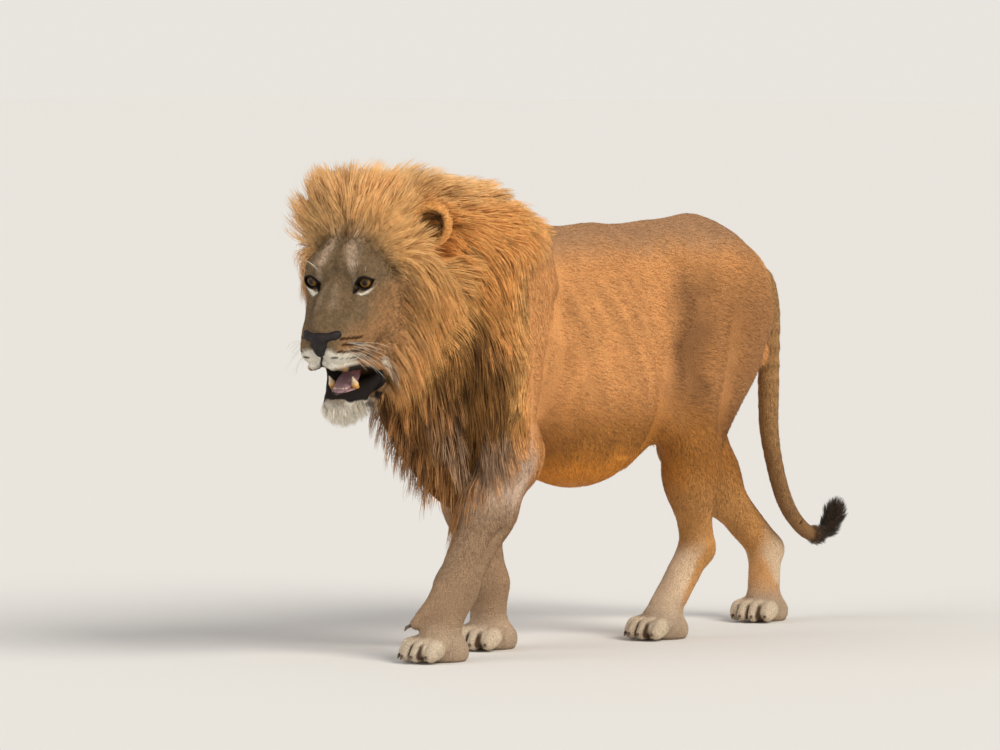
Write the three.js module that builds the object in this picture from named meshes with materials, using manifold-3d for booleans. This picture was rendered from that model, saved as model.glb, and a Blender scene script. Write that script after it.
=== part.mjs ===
// A walking male lion at life size, as a still museum model that stands on its four soles.
// Millimetres, +Z up. The lion faces -Y, and its left side is +X.
// The body is one smooth field of flesh forms, which stands out by the depth of the coat. It is meshed in
// zones, each as fine as its part needs, and then parted into head, mane, trunk, legs and tail.
import * as THREE from "three";
import { mergeVertices } from "three/addons/utils/BufferGeometryUtils.js";
import Module from "manifold-3d";

// ---- driving dimensions ----
const COAT = 6; // depth of the short coat over the skin
const FACE_COAT = 3;
const GAP = 0.4; // between parts that touch
const HEAD_AT = [22, -860, 936]; // the point between the eyes
const HEAD_SCALE = 1.05; // a large head for the species
const HEAD_TURN = 16; // degrees, towards the lion's left
const HEAD_NOD = 22; // degrees, nose down
const EYE = [66, -10, 4]; // the left eyeball, in the head's own frame
const EYE_RADIUS = 18;
const EAR = [147, 189, 55]; // the middle of the left ear
const HEAD_BACK = 74; // y of the plane where the head ends, inside the mane
const JAW_CUT = [60, -150]; // y and z of the plane that parts the lower jaw, at its hinge

// Joints of each leg: [x, y, z]. The ham is the rear edge of the thigh's muscle, and toes is the foot's turn
// in degrees.
const FORE = {
  left: {
    shoulder: [136, -425, 715], elbow: [122, -372, 492], wrist: [66, -508, 172],
    paw: [72, -592, 0], toes: -8,
  },
  right: {
    shoulder: [-140, -385, 715], elbow: [-128, -275, 485], wrist: [-52, -262, 165],
    paw: [-46, -275, 0], toes: 4,
  },
};
const HIND = {
  left: {
    hip: [98, 500, 830], knee: [146, 280, 505], ham: [112, 478, 700], hock: [92, 366, 216],
    paw: [94, 214, 0], toes: -6,
  },
  right: {
    hip: [-98, 510, 830], knee: [-134, 590, 470], ham: [-104, 620, 690], hock: [-70, 838, 176],
    paw: [-26, 768, 0], toes: 10,
  },
};
// The cells of each zone's mesh
const HEAD_CELL = [25, 25, 25];
const EAR_CELL = [22, 22, 22];
const PAW_CELL = [24, 24, 24];
const LEG_CELL = [36, 36, 60];
const TAIL_CELL = [19, 19, 54];
const TAIL_END_CELL = [14, 26, 20];
const MANE_CELL = [64, 64, 64];
const TRUNK_CELL = [66, 84, 66];
const TAIL = [
  [0, 722, 890, 38], [4, 756, 800, 31], [6, 758, 628, 27], [6, 762, 498, 23], [8, 794, 372, 20],
  [12, 836, 287, 18], [16, 896, 231, 16], [20, 949, 214, 15],
]; // x, y, z and radius down the tail
const TAIL_BEND = 380; // the height where the tail's last length starts
const TUFT = [[20, 950, 214, 20], [20, 985, 232, 30], [20, 1012, 268, 32], [20, 1030, 306, 12]];

// ---- fields: signed distances in millimetres, negative inside ----
const turn = (x, y, z) =>
  new THREE.Matrix4().makeRotationFromEuler(new THREE.Euler(...[x, y, z].map(THREE.MathUtils.degToRad), "ZYX"));

// An ellipsoid, turned by degrees about x, y and z.
function egg(centre, radii, [ax, ay, az] = [0, 0, 0]) {
  const m = turn(ax, ay, az).elements;
  const [rx, ry, rz] = radii;
  return ([px, py, pz]) => {
    const [x, y, z] = [px - centre[0], py - centre[1], pz - centre[2]];
    const u = (m[0] * x + m[1] * y + m[2] * z) / rx;
    const v = (m[4] * x + m[5] * y + m[6] * z) / ry;
    const w = (m[8] * x + m[9] * y + m[10] * z) / rz;
    const k = Math.hypot(u, v, w);
    return (k * (k - 1)) / Math.max(Math.hypot(u / rx, v / ry, w / rz), 1e-9);
  };
}

// A rounded cone from a to b, squeezed sideways by the factor flat.
function bone(a, b, ra, rb, flat = 1) {
  const [ax, bx] = [a[0] / flat, b[0] / flat];
  const d = [bx - ax, b[1] - a[1], b[2] - a[2]];
  const dd = d[0] ** 2 + d[1] ** 2 + d[2] ** 2;
  return ([px, py, pz]) => {
    const e = [px / flat - ax, py - a[1], pz - a[2]];
    const t = THREE.MathUtils.clamp((e[0] * d[0] + e[1] * d[1] + e[2] * d[2]) / dd, 0, 1);
    const away = Math.hypot(e[0] - t * d[0], e[1] - t * d[1], e[2] - t * d[2]);
    return (away - ra - t * (rb - ra)) * Math.min(flat, 1);
  };
}

// Joins fields one after the other with a soft fillet about k wide.
const blend = (k, ...fields) => (p) =>
  fields.reduce((sum, f) => {
    const d = f(p);
    const h = Math.max(k - Math.abs(sum - d), 0) / k;
    return Math.min(sum, d) - (h * h * k) / 4;
  }, 1e4);
const grow = (by, f) => (p) => f(p) - by;
const carve = (k, f, ...tools) => {
  const all = blend(k, ...tools);
  return (p) => {
    const [a, b] = [f(p), -all(p)];
    const h = Math.max(k - Math.abs(a - b), 0) / k;
    return Math.max(a, b) + (h * h * k) / 4;
  };
};
const both = (make) => [make(1), make(-1)]; // the left form and the right one
const chain = (k, points) =>
  blend(k, ...points.slice(1).map((b, i) => bone(points[i], b, points[i][3], b[3])));

// ---- flesh ----
const between = (a, b, t) => a.map((v, i) => v + (b[i] - v) * t);
const shifted = (a, x, y, z) => [a[0] + x, a[1] + y, a[2] + z];

function trunkField() {
  return blend(
    70,
    egg([0, -250, 760], [168, 260, 255]), // rib cage
    egg([0, -20, 712], [190, 290, 268]), // full ribs
    egg([0, 0, 606], [176, 215, 214], [12, 0, 0]), // hanging belly
    egg([0, 250, 800], [140, 220, 200]), // loin
    bone([0, -260, 990], [0, 40, 952], 74, 78), // withers and back
    bone([0, 40, 950], [0, 420, 968], 80, 92), // loin's ridge
    egg([0, 500, 872], [138, 176, 168], [-16, 0, 0]), // croup
    egg([0, 650, 868], [62, 84, 96], [-24, 0, 0]), // root of the tail
    egg([0, -430, 690], [135, 130, 190]), // breast
  );
}

function foreField(side, s) {
  const { shoulder, elbow, wrist } = FORE[side];
  return blend(
    46,
    bone([s * 88, -272, 980], shoulder, 58, 80, 0.72), // blade
    egg(shifted(shoulder, -s * 4, 10, -30), [62, 98, 120]), // shoulder muscle
    bone(shoulder, elbow, 80, 68, 0.86), // upper arm
    egg(shifted(elbow, 0, 20, 26), [46, 54, 70]), // triceps' end
    bone(elbow, between(elbow, wrist, 0.4), 70, 64, 0.92),
    bone(between(elbow, wrist, 0.4), wrist, 64, 50, 0.96),
  );
}

function hindField(side, s) {
  const { hip, knee, ham, hock } = HIND[side];
  return blend(
    46,
    bone(shifted(hip, -s * 6, 0, -10), knee, 118, 68, 0.64), // thigh
    bone(shifted(hip, 0, 40, -20), ham, 88, 72, 0.62), // hamstrings
    bone(ham, between(knee, hock, 0.3), 72, 50, 0.66),
    bone(knee, between(knee, hock, 0.35), 72, 60, 0.8),
    egg(between(knee, hock, 0.3), [44, 66, 88]), // calf
    bone(between(knee, hock, 0.35), hock, 56, 37, 0.8),
    bone(shifted(hock, 0, 22, 8), between(knee, hock, 0.6), 24, 20), // heel tendon
  );
}

// A paw with four toes. The metapodium comes down from the wrist or hock, whose radius is heel.
const TOES = [
  { across: -45, knuckle: -32, tip: -48 }, { across: -16, knuckle: -48, tip: -66 },
  { across: 16, knuckle: -48, tip: -66 }, { across: 45, knuckle: -32, tip: -48 },
];
function pawField(top, [x, y], bend, size, heel) {
  const a = THREE.MathUtils.degToRad(bend);
  const [cos, sin] = [Math.cos(a), Math.sin(a)];
  const at = (u, v, z) => [x + size * (u * cos - v * sin), y + size * (u * sin + v * cos), size * z];
  const toes = TOES.map(({ across, knuckle, tip }) =>
    blend(
      16,
      bone(at(across * 0.8, -8, 40), at(across, knuckle, 34), 24 * size, 23 * size),
      bone(at(across, knuckle, 32), at(across * 1.04, tip, 20), 21 * size, 19 * size),
    ),
  );
  const ball = blend(
    30,
    bone(top, at(0, 12, 56), heel, 40 * size, 1.05),
    egg(at(0, 22, 30), [54 * size, 62 * size, 38 * size], [0, 0, bend]),
    egg(at(0, 40, 14), [40 * size, 42 * size, 26 * size], [0, 0, bend]),
  );
  return blend(14, ball, ...toes);
}

const headTurn = new THREE.Matrix4()
  .makeTranslation(...HEAD_AT)
  .multiply(turn(0, 0, HEAD_TURN))
  .multiply(turn(HEAD_NOD, 0, 0))
  .multiply(new THREE.Matrix4().makeScale(HEAD_SCALE, HEAD_SCALE, HEAD_SCALE));
const inHead = (f) => {
  const e = headTurn.clone().invert().elements;
  return ([x, y, z]) =>
    HEAD_SCALE * f([
      e[0] * x + e[4] * y + e[8] * z + e[12],
      e[1] * x + e[5] * y + e[9] * z + e[13],
      e[2] * x + e[6] * y + e[10] * z + e[14],
    ]);
};

// The head in its own frame: the eyes at either side of x = 0, y back, z up. The mouth is open.
const upperHead = blend(
  26,
  egg([0, 128, 22], [94, 122, 78]), // brain case
  egg([0, 40, -80], [66, 100, 96]), // palate and throat
  egg([0, 46, 34], [74, 62, 42]), // forehead
  ...both((s) => egg([s * 44, 2, 34], [36, 30, 20], [10, 0, 0])), // brows
  ...both((s) => egg([s * 70, 26, -2], [33, 40, 46])), // outer rims of the eyes
  egg([0, -62, -28], [40, 96, 34], [26, 0, 0]), // bridge of the nose
  egg([0, -92, -82], [46, 58, 44]), // muzzle
  ...both((s) => egg([s * 29, -124, -112], [34, 47, 40])), // whisker pads
  ...both((s) => egg([s * 46, -62, -104], [34, 62, 60])), // lips' sides
  ...both((s) => egg([s * 56, 0, -72], [38, 66, 60])), // under the eyes
  ...both((s) => bone([s * 68, 10, -42], [s * 104, 96, -40], 28, 34)), // cheek bones
  ...both((s) => egg([s * 68, 80, -100], [50, 80, 96])), // jaw muscles
);
const lowerJaw = blend(
  26,
  ...both((s) => bone([s * 60, 62, -168], [s * 20, -92, -256], 44, 26)),
  egg([0, -112, -256], [36, 36, 33]), // chin
  egg([0, 20, -214], [52, 96, 44], [24, 0, 0]), // throat
);
const mouth = blend(
  10,
  egg([0, -128, -190], [98, 128, 36], [-12, 0, 0]), // between the lips
  egg([0, -50, -196], [38, 76, 36], [14, 0, 0]), // the cavity behind
);
const head = inHead(carve(14, blend(22, upperHead, lowerJaw), mouth));
const neck = blend(
  60,
  bone([10, -700, 880], [0, -400, 850], 110, 160, 0.8),
  bone([0, -400, 850], [0, -250, 800], 160, 185, 0.8),
);
const tail = chain(20, TAIL);
const paws = {
  foreLeft: pawField(FORE.left.wrist, FORE.left.paw, FORE.left.toes, 1.06, 50),
  foreRight: pawField(FORE.right.wrist, FORE.right.paw, FORE.right.toes, 1.06, 50),
  hindLeft: pawField(HIND.left.hock, HIND.left.paw, HIND.left.toes, 1, 40),
  hindRight: pawField(HIND.right.hock, HIND.right.paw, HIND.right.toes, 1, 40),
};
const legs = {
  foreLeft: blend(24, foreField("left", 1), paws.foreLeft),
  foreRight: blend(24, foreField("right", -1), paws.foreRight),
  hindLeft: blend(24, hindField("left", 1), paws.hindLeft),
  hindRight: blend(24, hindField("right", -1), paws.hindRight),
};
const body = grow(COAT, blend(44, blend(60, trunkField(), neck), ...Object.values(legs)));

// The mane's outer form, to the tips of its hair.
const maneHair = blend(
  70,
  inHead(egg([0, 146, 40], [202, 116, 172])), // crown and ruff about the face
  inHead(egg([0, 90, -120], [150, 110, 150])), // whiskers of the cheeks
  egg([10, -600, 1000], [205, 200, 215]), // top of the neck
  egg([0, -420, 950], [232, 215, 235]), // nape
  egg([0, -300, 860], [218, 150, 250], [-14, 0, 0]), // withers
  ...both((s) => egg([s * 140, -400, 700], [98, 128, 215])), // over the shoulders
  egg([0, -520, 720], [185, 165, 250]), // throat
  egg([0, -470, 560], [140, 130, 210], [14, 0, 0]), // breast
);
// A place by the ear on side s: outwards, back and up from its middle.
const earAt = (s, out = 0, back = 0, up = 0) => [s * (EAR[0] + out), EAR[1] + back, EAR[2] + up];
const mane = carve(40, maneHair, ...both((s) => inHead(egg(earAt(s, 34, -6, 10), [72, 52, 74]))));

const tuft = chain(24, TUFT);
const ear = (s) =>
  inHead(
    carve(
      8,
      blend(12, egg(earAt(s), [50, 27, 62], [8, s * 18, s * 28]), egg(earAt(s, -36, 0, -44), [34, 30, 36])),
      egg(earAt(s, 12, -22, 2), [36, 28, 48], [8, s * 18, s * 28]),
    ),
  );
const nose = inHead(
  blend(
    12,
    ...both((s) => egg([s * 25, -152, -78], [22, 18, 12], [30, 0, 0])), // wings
    egg([0, -163, -92], [17, 16, 20]),
  ),
);
const tongue = inHead(egg([0, -64, -222], [25, 56, 13], [10, 0, 0]));
const canine = (s) => inHead(bone([s * 28, -84, -238], [s * 30, -90, -203], 9, 2.5));

// ---- meshing ----
// A cell is simple when its inner corners hang together along the cell's edges, and its outer ones too.
const SIMPLE = { corners: [...Array(8).keys()].map((c) => [c & 1, (c >> 1) & 1, c >> 2]) };
SIMPLE.table = [...Array(256).keys()].map((mask) =>
  [mask, 255 - mask].every((set) => {
    let seen = set & -set;
    for (let pass = 0; pass < 8; pass++)
      for (let c = 0; c < 8; c++)
        if (seen & (1 << c)) for (const flip of [1, 2, 4]) seen |= set & (1 << (c ^ flip));
    return seen === set;
  }),
);

// Surface nets over a box of cells, drawn onto the field's zero by a few steps down its slope.
function nets(field, low, high, [dx, dy, dz]) {
  const [x0, y0, z0] = [low[0] - 2 * dx, low[1] - 2 * dy, low[2] - 2 * dz];
  const [x1, y1, z1] = [high[0] + 2 * dx, high[1] + 2 * dy, high[2] + 2 * dz];
  const n = [Math.ceil((x1 - x0) / dx) + 1, Math.ceil((y1 - y0) / dy) + 1, Math.ceil((z1 - z0) / dz) + 1];
  const index = (i, j, k) => (k * n[1] + j) * n[0] + i;
  const at = (i, j, k) => [x0 + i * dx, y0 + j * dy, z0 + k * dz];
  const value = new Float64Array(n[0] * n[1] * n[2]).fill(1e4);
  for (let k = 1; k < n[2] - 1; k++)
    for (let j = 1; j < n[1] - 1; j++)
      for (let i = 1; i < n[0] - 1; i++) value[index(i, j, k)] = field(at(i, j, k));
  const step = [1, n[0], n[0] * n[1]];
  const corners = [...SIMPLE.corners].map(([a, b, c]) => a * step[0] + b * step[1] + c * step[2]);
  for (let again = true; again; ) {
    again = false;
    for (let k = 0; k < n[2] - 1; k++)
      for (let j = 0; j < n[1] - 1; j++)
        for (let i = 0; i < n[0] - 1; i++) {
          const here = corners.map((c) => index(i, j, k) + c);
          if (SIMPLE.table[here.reduce((mask, c, bit) => mask | ((value[c] < 0) << bit), 0)]) continue;
          const open = here.filter((c) => value[c] >= 0).reduce((a, b) => (value[b] < value[a] ? b : a));
          value[open] = -0.5;
          again = true;
        }
  }
  const vertexOf = new Int32Array(value.length).fill(-1);
  const points = [];
  for (let k = 0; k < n[2] - 1; k++)
    for (let j = 0; j < n[1] - 1; j++)
      for (let i = 0; i < n[0] - 1; i++) {
        const base = index(i, j, k);
        const sum = [0, 0, 0];
        let crossings = 0;
        for (let axis = 0; axis < 3; axis++)
          for (let corner = 0; corner < 4; corner++) {
            const [u, v] = [(axis + 1) % 3, (axis + 2) % 3];
            const from = base + (corner & 1) * step[u] + (corner >> 1) * step[v];
            const [a, b] = [value[from], value[from + step[axis]]];
            if (a < 0 === b < 0) continue;
            const place = [0, 0, 0];
            place[u] = corner & 1;
            place[v] = corner >> 1;
            place[axis] = a / (a - b);
            for (let c = 0; c < 3; c++) sum[c] += place[c];
            crossings++;
          }
        if (!crossings) continue;
        vertexOf[base] = points.length;
        points.push(at(i + sum[0] / crossings, j + sum[1] / crossings, k + sum[2] / crossings));
      }
  const faces = [];
  for (let k = 0; k < n[2] - 1; k++)
    for (let j = 0; j < n[1] - 1; j++)
      for (let i = 0; i < n[0] - 1; i++)
        for (let axis = 0; axis < 3; axis++) {
          const [u, v] = [(axis + 1) % 3, (axis + 2) % 3];
          if ([i, j, k][u] === 0 || [i, j, k][v] === 0) continue;
          const base = index(i, j, k);
          const [a, b] = [value[base] < 0, value[base + step[axis]] < 0];
          if (a === b) continue;
          const quad = [base - step[u] - step[v], base - step[v], base, base - step[u]].map((c) => vertexOf[c]);
          if (!a) quad.reverse();
          faces.push([quad[0], quad[1], quad[2]], [quad[0], quad[2], quad[3]]);
        }
  const [start, end, cell] = [[x0, y0, z0], [x1, y1, z1], [dx, dy, dz]];
  const inside = (p) => p.every((v, c) => v > start[c] + 1.5 * cell[c] && v < end[c] - 1.5 * cell[c]);
  for (const p of points) if (inside(p)) settle(field, p, 0.3 * Math.min(dx, dy, dz));
  return new THREE.BufferGeometry()
    .setAttribute("position", new THREE.Float32BufferAttribute(points.flat(), 3))
    .setIndex(faces.flat());
}

// Moves a point onto the field's zero, by at most reach at a step.
function settle(field, p, reach) {
  const e = 1;
  for (let pass = 0; pass < 3; pass++) {
    const d = field(p);
    const g = [0, 1, 2].map((c) => {
      const q = [...p];
      q[c] += e;
      return (field(q) - d) / e;
    });
    const size = Math.max(g[0] ** 2 + g[1] ** 2 + g[2] ** 2, 0.2);
    for (let c = 0; c < 3; c++) p[c] -= THREE.MathUtils.clamp((d * g[c]) / size, -reach, reach);
  }
}

const wasm = await Module();
wasm.setup();
function solid(geometry) {
  const bare = geometry.clone();
  bare.deleteAttribute("normal");
  bare.deleteAttribute("uv");
  const merged = mergeVertices(bare, 1e-3);
  const vertProperties = merged.attributes.position.array;
  const triVerts = new Uint32Array(merged.index.array);
  return new wasm.Manifold(new wasm.Mesh({ numProp: 3, vertProperties, triVerts }));
}
function geometryOf(made) {
  const { vertProperties, triVerts } = made.getMesh();
  return new THREE.BufferGeometry()
    .setAttribute("position", new THREE.BufferAttribute(vertProperties, 3))
    .setIndex(new THREE.BufferAttribute(triVerts, 1));
}
// The same solid with its surface moved out, to cut a neighbour with.
function swell(made, by = GAP) {
  const geometry = geometryOf(made);
  geometry.computeVertexNormals();
  const { position, normal } = geometry.attributes;
  for (let i = 0; i < position.count; i++)
    position.setXYZ(i, ...["X", "Y", "Z"].map((c) => position["get" + c](i) + by * normal["get" + c](i)));
  geometry.deleteAttribute("normal");
  return solid(geometry);
}
const largest = (made) => made.decompose().reduce((a, b) => (b.volume() > a.volume() ? b : a));
const mesh = (field, low, high, cell) =>
  solid(nets(field, low, high, Array.isArray(cell) ? cell : [cell, cell, cell]));

// Parts a solid at a plane: the side the normal points to, then the other.
function part(made, point, normal) {
  const at = normal.reduce((sum, v, i) => sum + v * point[i], 0) / Math.hypot(...normal);
  return [made.trimByPlane(normal, at + GAP / 2), made.trimByPlane(normal.map((v) => -v), -at + GAP / 2)];
}

// A prism between two x planes; its outline is a loop of [y, z].
function prism(outline, x0, x1, by = 0) {
  const [my, mz] = [0, 1].map((c) => outline.reduce((sum, p) => sum + p[c], 0) / outline.length);
  const grown = outline.map(([y, z]) => [y + by * Math.sign(y - my), z + by * Math.sign(z - mz)]);
  const shape = new THREE.Shape(grown.map(([y, z]) => new THREE.Vector2(y, z)));
  const geometry = new THREE.ExtrudeGeometry(shape, { depth: x1 - x0 + 2 * by, bevelEnabled: false });
  const upright = new THREE.Matrix4().set(0, 0, 1, x0 - by, 1, 0, 0, 0, 0, 1, 0, 0, 0, 0, 0, 1);
  return solid(geometry.applyMatrix4(upright));
}

// ---- parts ----
const made = {};
const SIDES = [["left", 1], ["right", -1]];

// Head, jaw and what they hold
const inWorld = (point) => new THREE.Vector3(...point).applyMatrix4(headTurn).toArray();
const about = (point, by) => [inWorld(point).map((v) => v - by), inWorld(point).map((v) => v + by)];
const headPlane = (point, normal) => [
  inWorld(point),
  new THREE.Vector3(...normal).transformDirection(headTurn).toArray(),
];
const headMesh = (back, by) => {
  const whole = mesh(grow(by, head), ...about([0, -20, -90], 250), HEAD_CELL);
  return part(whole, ...headPlane([0, back, 0], [0, -1, 0]))[0];
};
const face = headMesh(HEAD_BACK, FACE_COAT);
const [upper, lower] = part(face, ...headPlane([0, ...JAW_CUT], [0, 0.18, 1]));
for (const [side, s] of SIDES) {
  const ball = new THREE.SphereGeometry(EYE_RADIUS * HEAD_SCALE, 10, 7);
  made["eye_" + side] = solid(ball.translate(...inWorld([s * EYE[0], EYE[1], EYE[2]])));
}
made.nose = mesh(nose, ...about([0, -148, -85], 60), 13);
made.jaw = lower;
const holds = ["nose", "eye_left", "eye_right"];
made.head = largest(holds.reduce((left, name) => left.subtract(swell(made[name])), upper));
made.tongue = mesh(tongue, ...about([0, -64, -220], 70), 18).subtract(swell(lower)).subtract(swell(upper));
for (const [side, s] of SIDES)
  made["canine_" + side] = mesh(canine(s), ...about([s * 29, -87, -220], 34), 9).subtract(swell(lower));

// Legs, each parted at its foot
const OUTLINES = {
  foreLeft: [[-780, -20], [-780, 480], [-180, 480], [-180, -20]],
  foreRight: [[-780, -20], [-780, 480], [-150, 480], [-150, -20]],
  hindLeft: [[186, -20], [186, 520], [430, 610], [600, 560], [520, -20]],
  hindRight: [[400, -20], [400, 470], [560, 590], [900, 590], [1000, -20]],
}; // y and z of the room that each leg takes
const LEGS = {
  foreleg_left: [FORE.left, OUTLINES.foreLeft, 1, "fore_paw_left", 130],
  foreleg_right: [FORE.right, OUTLINES.foreRight, -1, "fore_paw_right", 130],
  hindleg_left: [HIND.left, OUTLINES.hindLeft, 1, "hind_paw_left", 110],
  hindleg_right: [HIND.right, OUTLINES.hindRight, -1, "hind_paw_right", 110],
};
const SKIRT = 26; // the hind legs' prisms stop short of the middle by this
const prisms = [];
const pockets = [headMesh(HEAD_BACK + GAP, FACE_COAT + 4 * GAP)]; // the room the mane leaves
for (const [name, [leg, outline, s, paw, at]] of Object.entries(LEGS)) {
  const middle = name.startsWith("fore") ? 0 : SKIRT;
  const sides = s > 0 ? [middle, 330] : [-330, -middle];
  const ys = outline.map((p) => p[0]);
  const [low, high] = s > 0 ? [-90, 330] : [-330, 90];
  const flesh = (by) =>
    mesh(grow(by, body), [low, Math.min(...ys), 0], [high, Math.max(...ys), 640], LEG_CELL);
  prisms.push(prism(outline, ...sides, GAP));
  made[name] = largest(flesh(0).intersect(prism(outline, ...sides)).trimByPlane([0, 0, 1], at + GAP / 2));
  if (name.startsWith("fore")) pockets.push(flesh(4 * GAP).intersect(prism(outline, ...sides, GAP)));
  const [x, y] = leg.paw;
  const foot = mesh(body, [x - 90, y - 130, -20], [x + 90, y + 150, 160], PAW_CELL);
  made[paw] = largest(foot.trimByPlane([0, 0, 1], 0).trimByPlane([0, 0, -1], -at + GAP / 2));
}

// Tail
const tailWhole = mesh(tail, [-50, 680, TAIL_BEND], [50, 840, 950], TAIL_CELL);
made.tail_tuft = mesh(tuft, [-40, 900, 170], [80, 1080, 340], 22);
const [tailTop, tailLow] = part(tailWhole, [0, 0, 640], [0, 0, 1]);
made.tail_root = tailTop;
made.tail_middle = largest(tailLow.trimByPlane([0, 0, 1], TAIL_BEND + GAP / 2));
const tailBent = mesh(tail, [-30, 740, 180], [60, 990, TAIL_BEND + 20], TAIL_END_CELL);
made.tail_end = largest(tailBent.trimByPlane([0, 0, -1], -TAIL_BEND + GAP / 2)).subtract(swell(made.tail_tuft));

// Mane, over the neck and the shoulders
const maneWhole = mesh(mane, [-300, -1000, 300], [300, -80, 1280], MANE_CELL);
for (const [side, s] of SIDES) {
  const lobe = mesh(ear(s), ...about(earAt(s), 100), EAR_CELL);
  made["ear_" + side] = largest(lobe.subtract(swell(made.head)));
}
const neighbours = ["jaw", "head", "foreleg_left", "foreleg_right", "ear_left", "ear_right"];
const maneCut = [...pockets, ...neighbours.map((name) => swell(made[name], 3 * GAP))].reduce(
  (left, tool) => left.subtract(tool),
  maneWhole,
);
const [maneHigh, maneLow] = part(maneCut, [0, 0, 720], [0, 0, 1]);
const [maneFront, maneBack] = part(maneHigh, [0, -560, 0], [0, -1, -0.2]);
Object.assign(made, { mane_crown: maneFront, mane_neck: maneBack, mane_chest: maneLow });

// Trunk
const trunkWhole = [...prisms, swell(maneWhole), swell(tailWhole)].reduce(
  (left, tool) => left.subtract(tool),
  mesh(body, [-300, -700, 300], [300, 820, 1120], TRUNK_CELL),
);
const scrotum = mesh(egg([22, 696, 702], [30, 30, 41]), [-20, 660, 650], [60, 740, 750], 20);
made.scrotum = scrotum.subtract(swell(tailWhole));
const [rump, fore] = part(largest(trunkWhole), [0, 300, 0], [0, 1, 0]);
const [belly, chest] = part(fore, [0, -20, 0], [0, 1, 0]);
Object.assign(made, { rump: rump.subtract(swell(made.scrotum)), belly, chest });

// ---- the group, standing with its middle over the origin ----
const FINISH = {
  coat: [0xb98a4e, 0.85], mane: [0xb37a38, 0.8], nose: [0x3a2420, 0.45], eye: [0x9a6a22, 0.15],
  tooth: [0xe8d9b8, 0.35], tongue: [0xb06a6a, 0.5], tuft: [0x1d1310, 0.8],
};
const finishOf = (name) => {
  const [kind] = ["mane", "nose", "eye", "canine", "tongue", "tail_tuft"].filter((k) => name.startsWith(k));
  return { canine: "tooth", tail_tuft: "tuft" }[kind] ?? kind ?? "coat";
};
const group = new THREE.Group();
for (const [name, one] of Object.entries(made)) {
  const [color, roughness] = FINISH[finishOf(name)];
  const material = new THREE.MeshStandardMaterial({ color, roughness, metalness: 0 });
  const piece = new THREE.Mesh(geometryOf(largest(one)), material);
  piece.name = name;
  piece.material.name = finishOf(name);
  group.add(piece);
}
const middle = new THREE.Box3().setFromObject(group).getCenter(new THREE.Vector3());
for (const piece of group.children) piece.geometry.translate(-middle.x, -middle.y, 0);
export default group;
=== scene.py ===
import itertools
import math

import bpy
import numpy as np
from mathutils import Matrix, Vector, kdtree


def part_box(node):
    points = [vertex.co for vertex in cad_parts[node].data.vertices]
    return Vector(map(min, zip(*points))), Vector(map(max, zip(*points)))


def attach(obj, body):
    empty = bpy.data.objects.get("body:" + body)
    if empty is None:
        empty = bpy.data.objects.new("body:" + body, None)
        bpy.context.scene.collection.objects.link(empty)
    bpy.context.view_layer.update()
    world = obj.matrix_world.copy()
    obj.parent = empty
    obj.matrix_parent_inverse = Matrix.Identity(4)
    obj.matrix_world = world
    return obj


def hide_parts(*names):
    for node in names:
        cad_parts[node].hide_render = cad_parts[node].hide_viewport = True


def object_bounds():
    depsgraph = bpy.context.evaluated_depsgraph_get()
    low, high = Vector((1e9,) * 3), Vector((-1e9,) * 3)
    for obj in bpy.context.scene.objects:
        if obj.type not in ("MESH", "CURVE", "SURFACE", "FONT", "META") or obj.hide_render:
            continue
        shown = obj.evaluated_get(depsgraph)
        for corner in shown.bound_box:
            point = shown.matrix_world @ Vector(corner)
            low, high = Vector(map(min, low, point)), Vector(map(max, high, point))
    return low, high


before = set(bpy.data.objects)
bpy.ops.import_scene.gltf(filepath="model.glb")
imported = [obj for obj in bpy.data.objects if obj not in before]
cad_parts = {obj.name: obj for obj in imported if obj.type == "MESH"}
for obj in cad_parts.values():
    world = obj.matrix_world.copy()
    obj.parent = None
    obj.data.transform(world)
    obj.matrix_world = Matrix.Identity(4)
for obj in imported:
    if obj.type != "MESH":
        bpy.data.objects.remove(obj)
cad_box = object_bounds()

MM = 0.001
BODY = "root"
RNG = np.random.default_rng(7)

# ---- driving sizes, as in the solids ----
HEAD_AT = (22, -860, 936)
HEAD_SCALE = 1.05
HEAD_TURN = 16
HEAD_NOD = 22
EYE = (66, -10, 4)
EYE_RADIUS = 18
EAR = (147, 189, 55)
SIDES = (("left", 1), ("right", -1))
FORE = {
    "left": dict(shoulder=(136, -425, 715), elbow=(122, -372, 492), wrist=(66, -508, 172),
                 paw=(72, -592), toes=-8),
    "right": dict(shoulder=(-140, -385, 715), elbow=(-128, -275, 485), wrist=(-52, -262, 165),
                  paw=(-46, -275), toes=4),
}
HIND = {
    "left": dict(hip=(98, 500, 830), knee=(146, 280, 505), ham=(112, 478, 700), hock=(92, 366, 216),
                 paw=(94, 214), toes=-6),
    "right": dict(hip=(-98, 510, 830), knee=(-134, 590, 470), ham=(-104, 620, 690), hock=(-70, 838, 176),
                  paw=(-26, 768), toes=10),
}
FORE_PAW, HIND_PAW = 1.06, 1.0  # sizes of the paws
PAWS = [(FORE[k], FORE_PAW) for k in FORE] + [(HIND[k], HIND_PAW) for k in HIND]
TAIL = [
    (0, 722, 890, 38), (4, 756, 800, 31), (6, 758, 628, 27), (6, 762, 498, 23), (8, 794, 372, 20),
    (12, 836, 287, 18), (16, 896, 231, 16), (20, 949, 214, 15),
]
TUFT = [(20, 950, 214, 20), (20, 985, 232, 30), (20, 1012, 268, 32), (20, 1030, 306, 12)]
MANE_DEPTH = 40  # from the tips of the mane down to the body of hair that its locks grow from
TAIL_COAT = 4
TUFT_COAT = 15
LIMB_BLEND = 44
PART_BLEND = 14
SKIN_CELL = 9  # of the first mesh of the skin
REFINEMENTS = 4  # times that the skin's long edges are split
EYE_TILT = 10  # degrees, up at the outer corner

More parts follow.
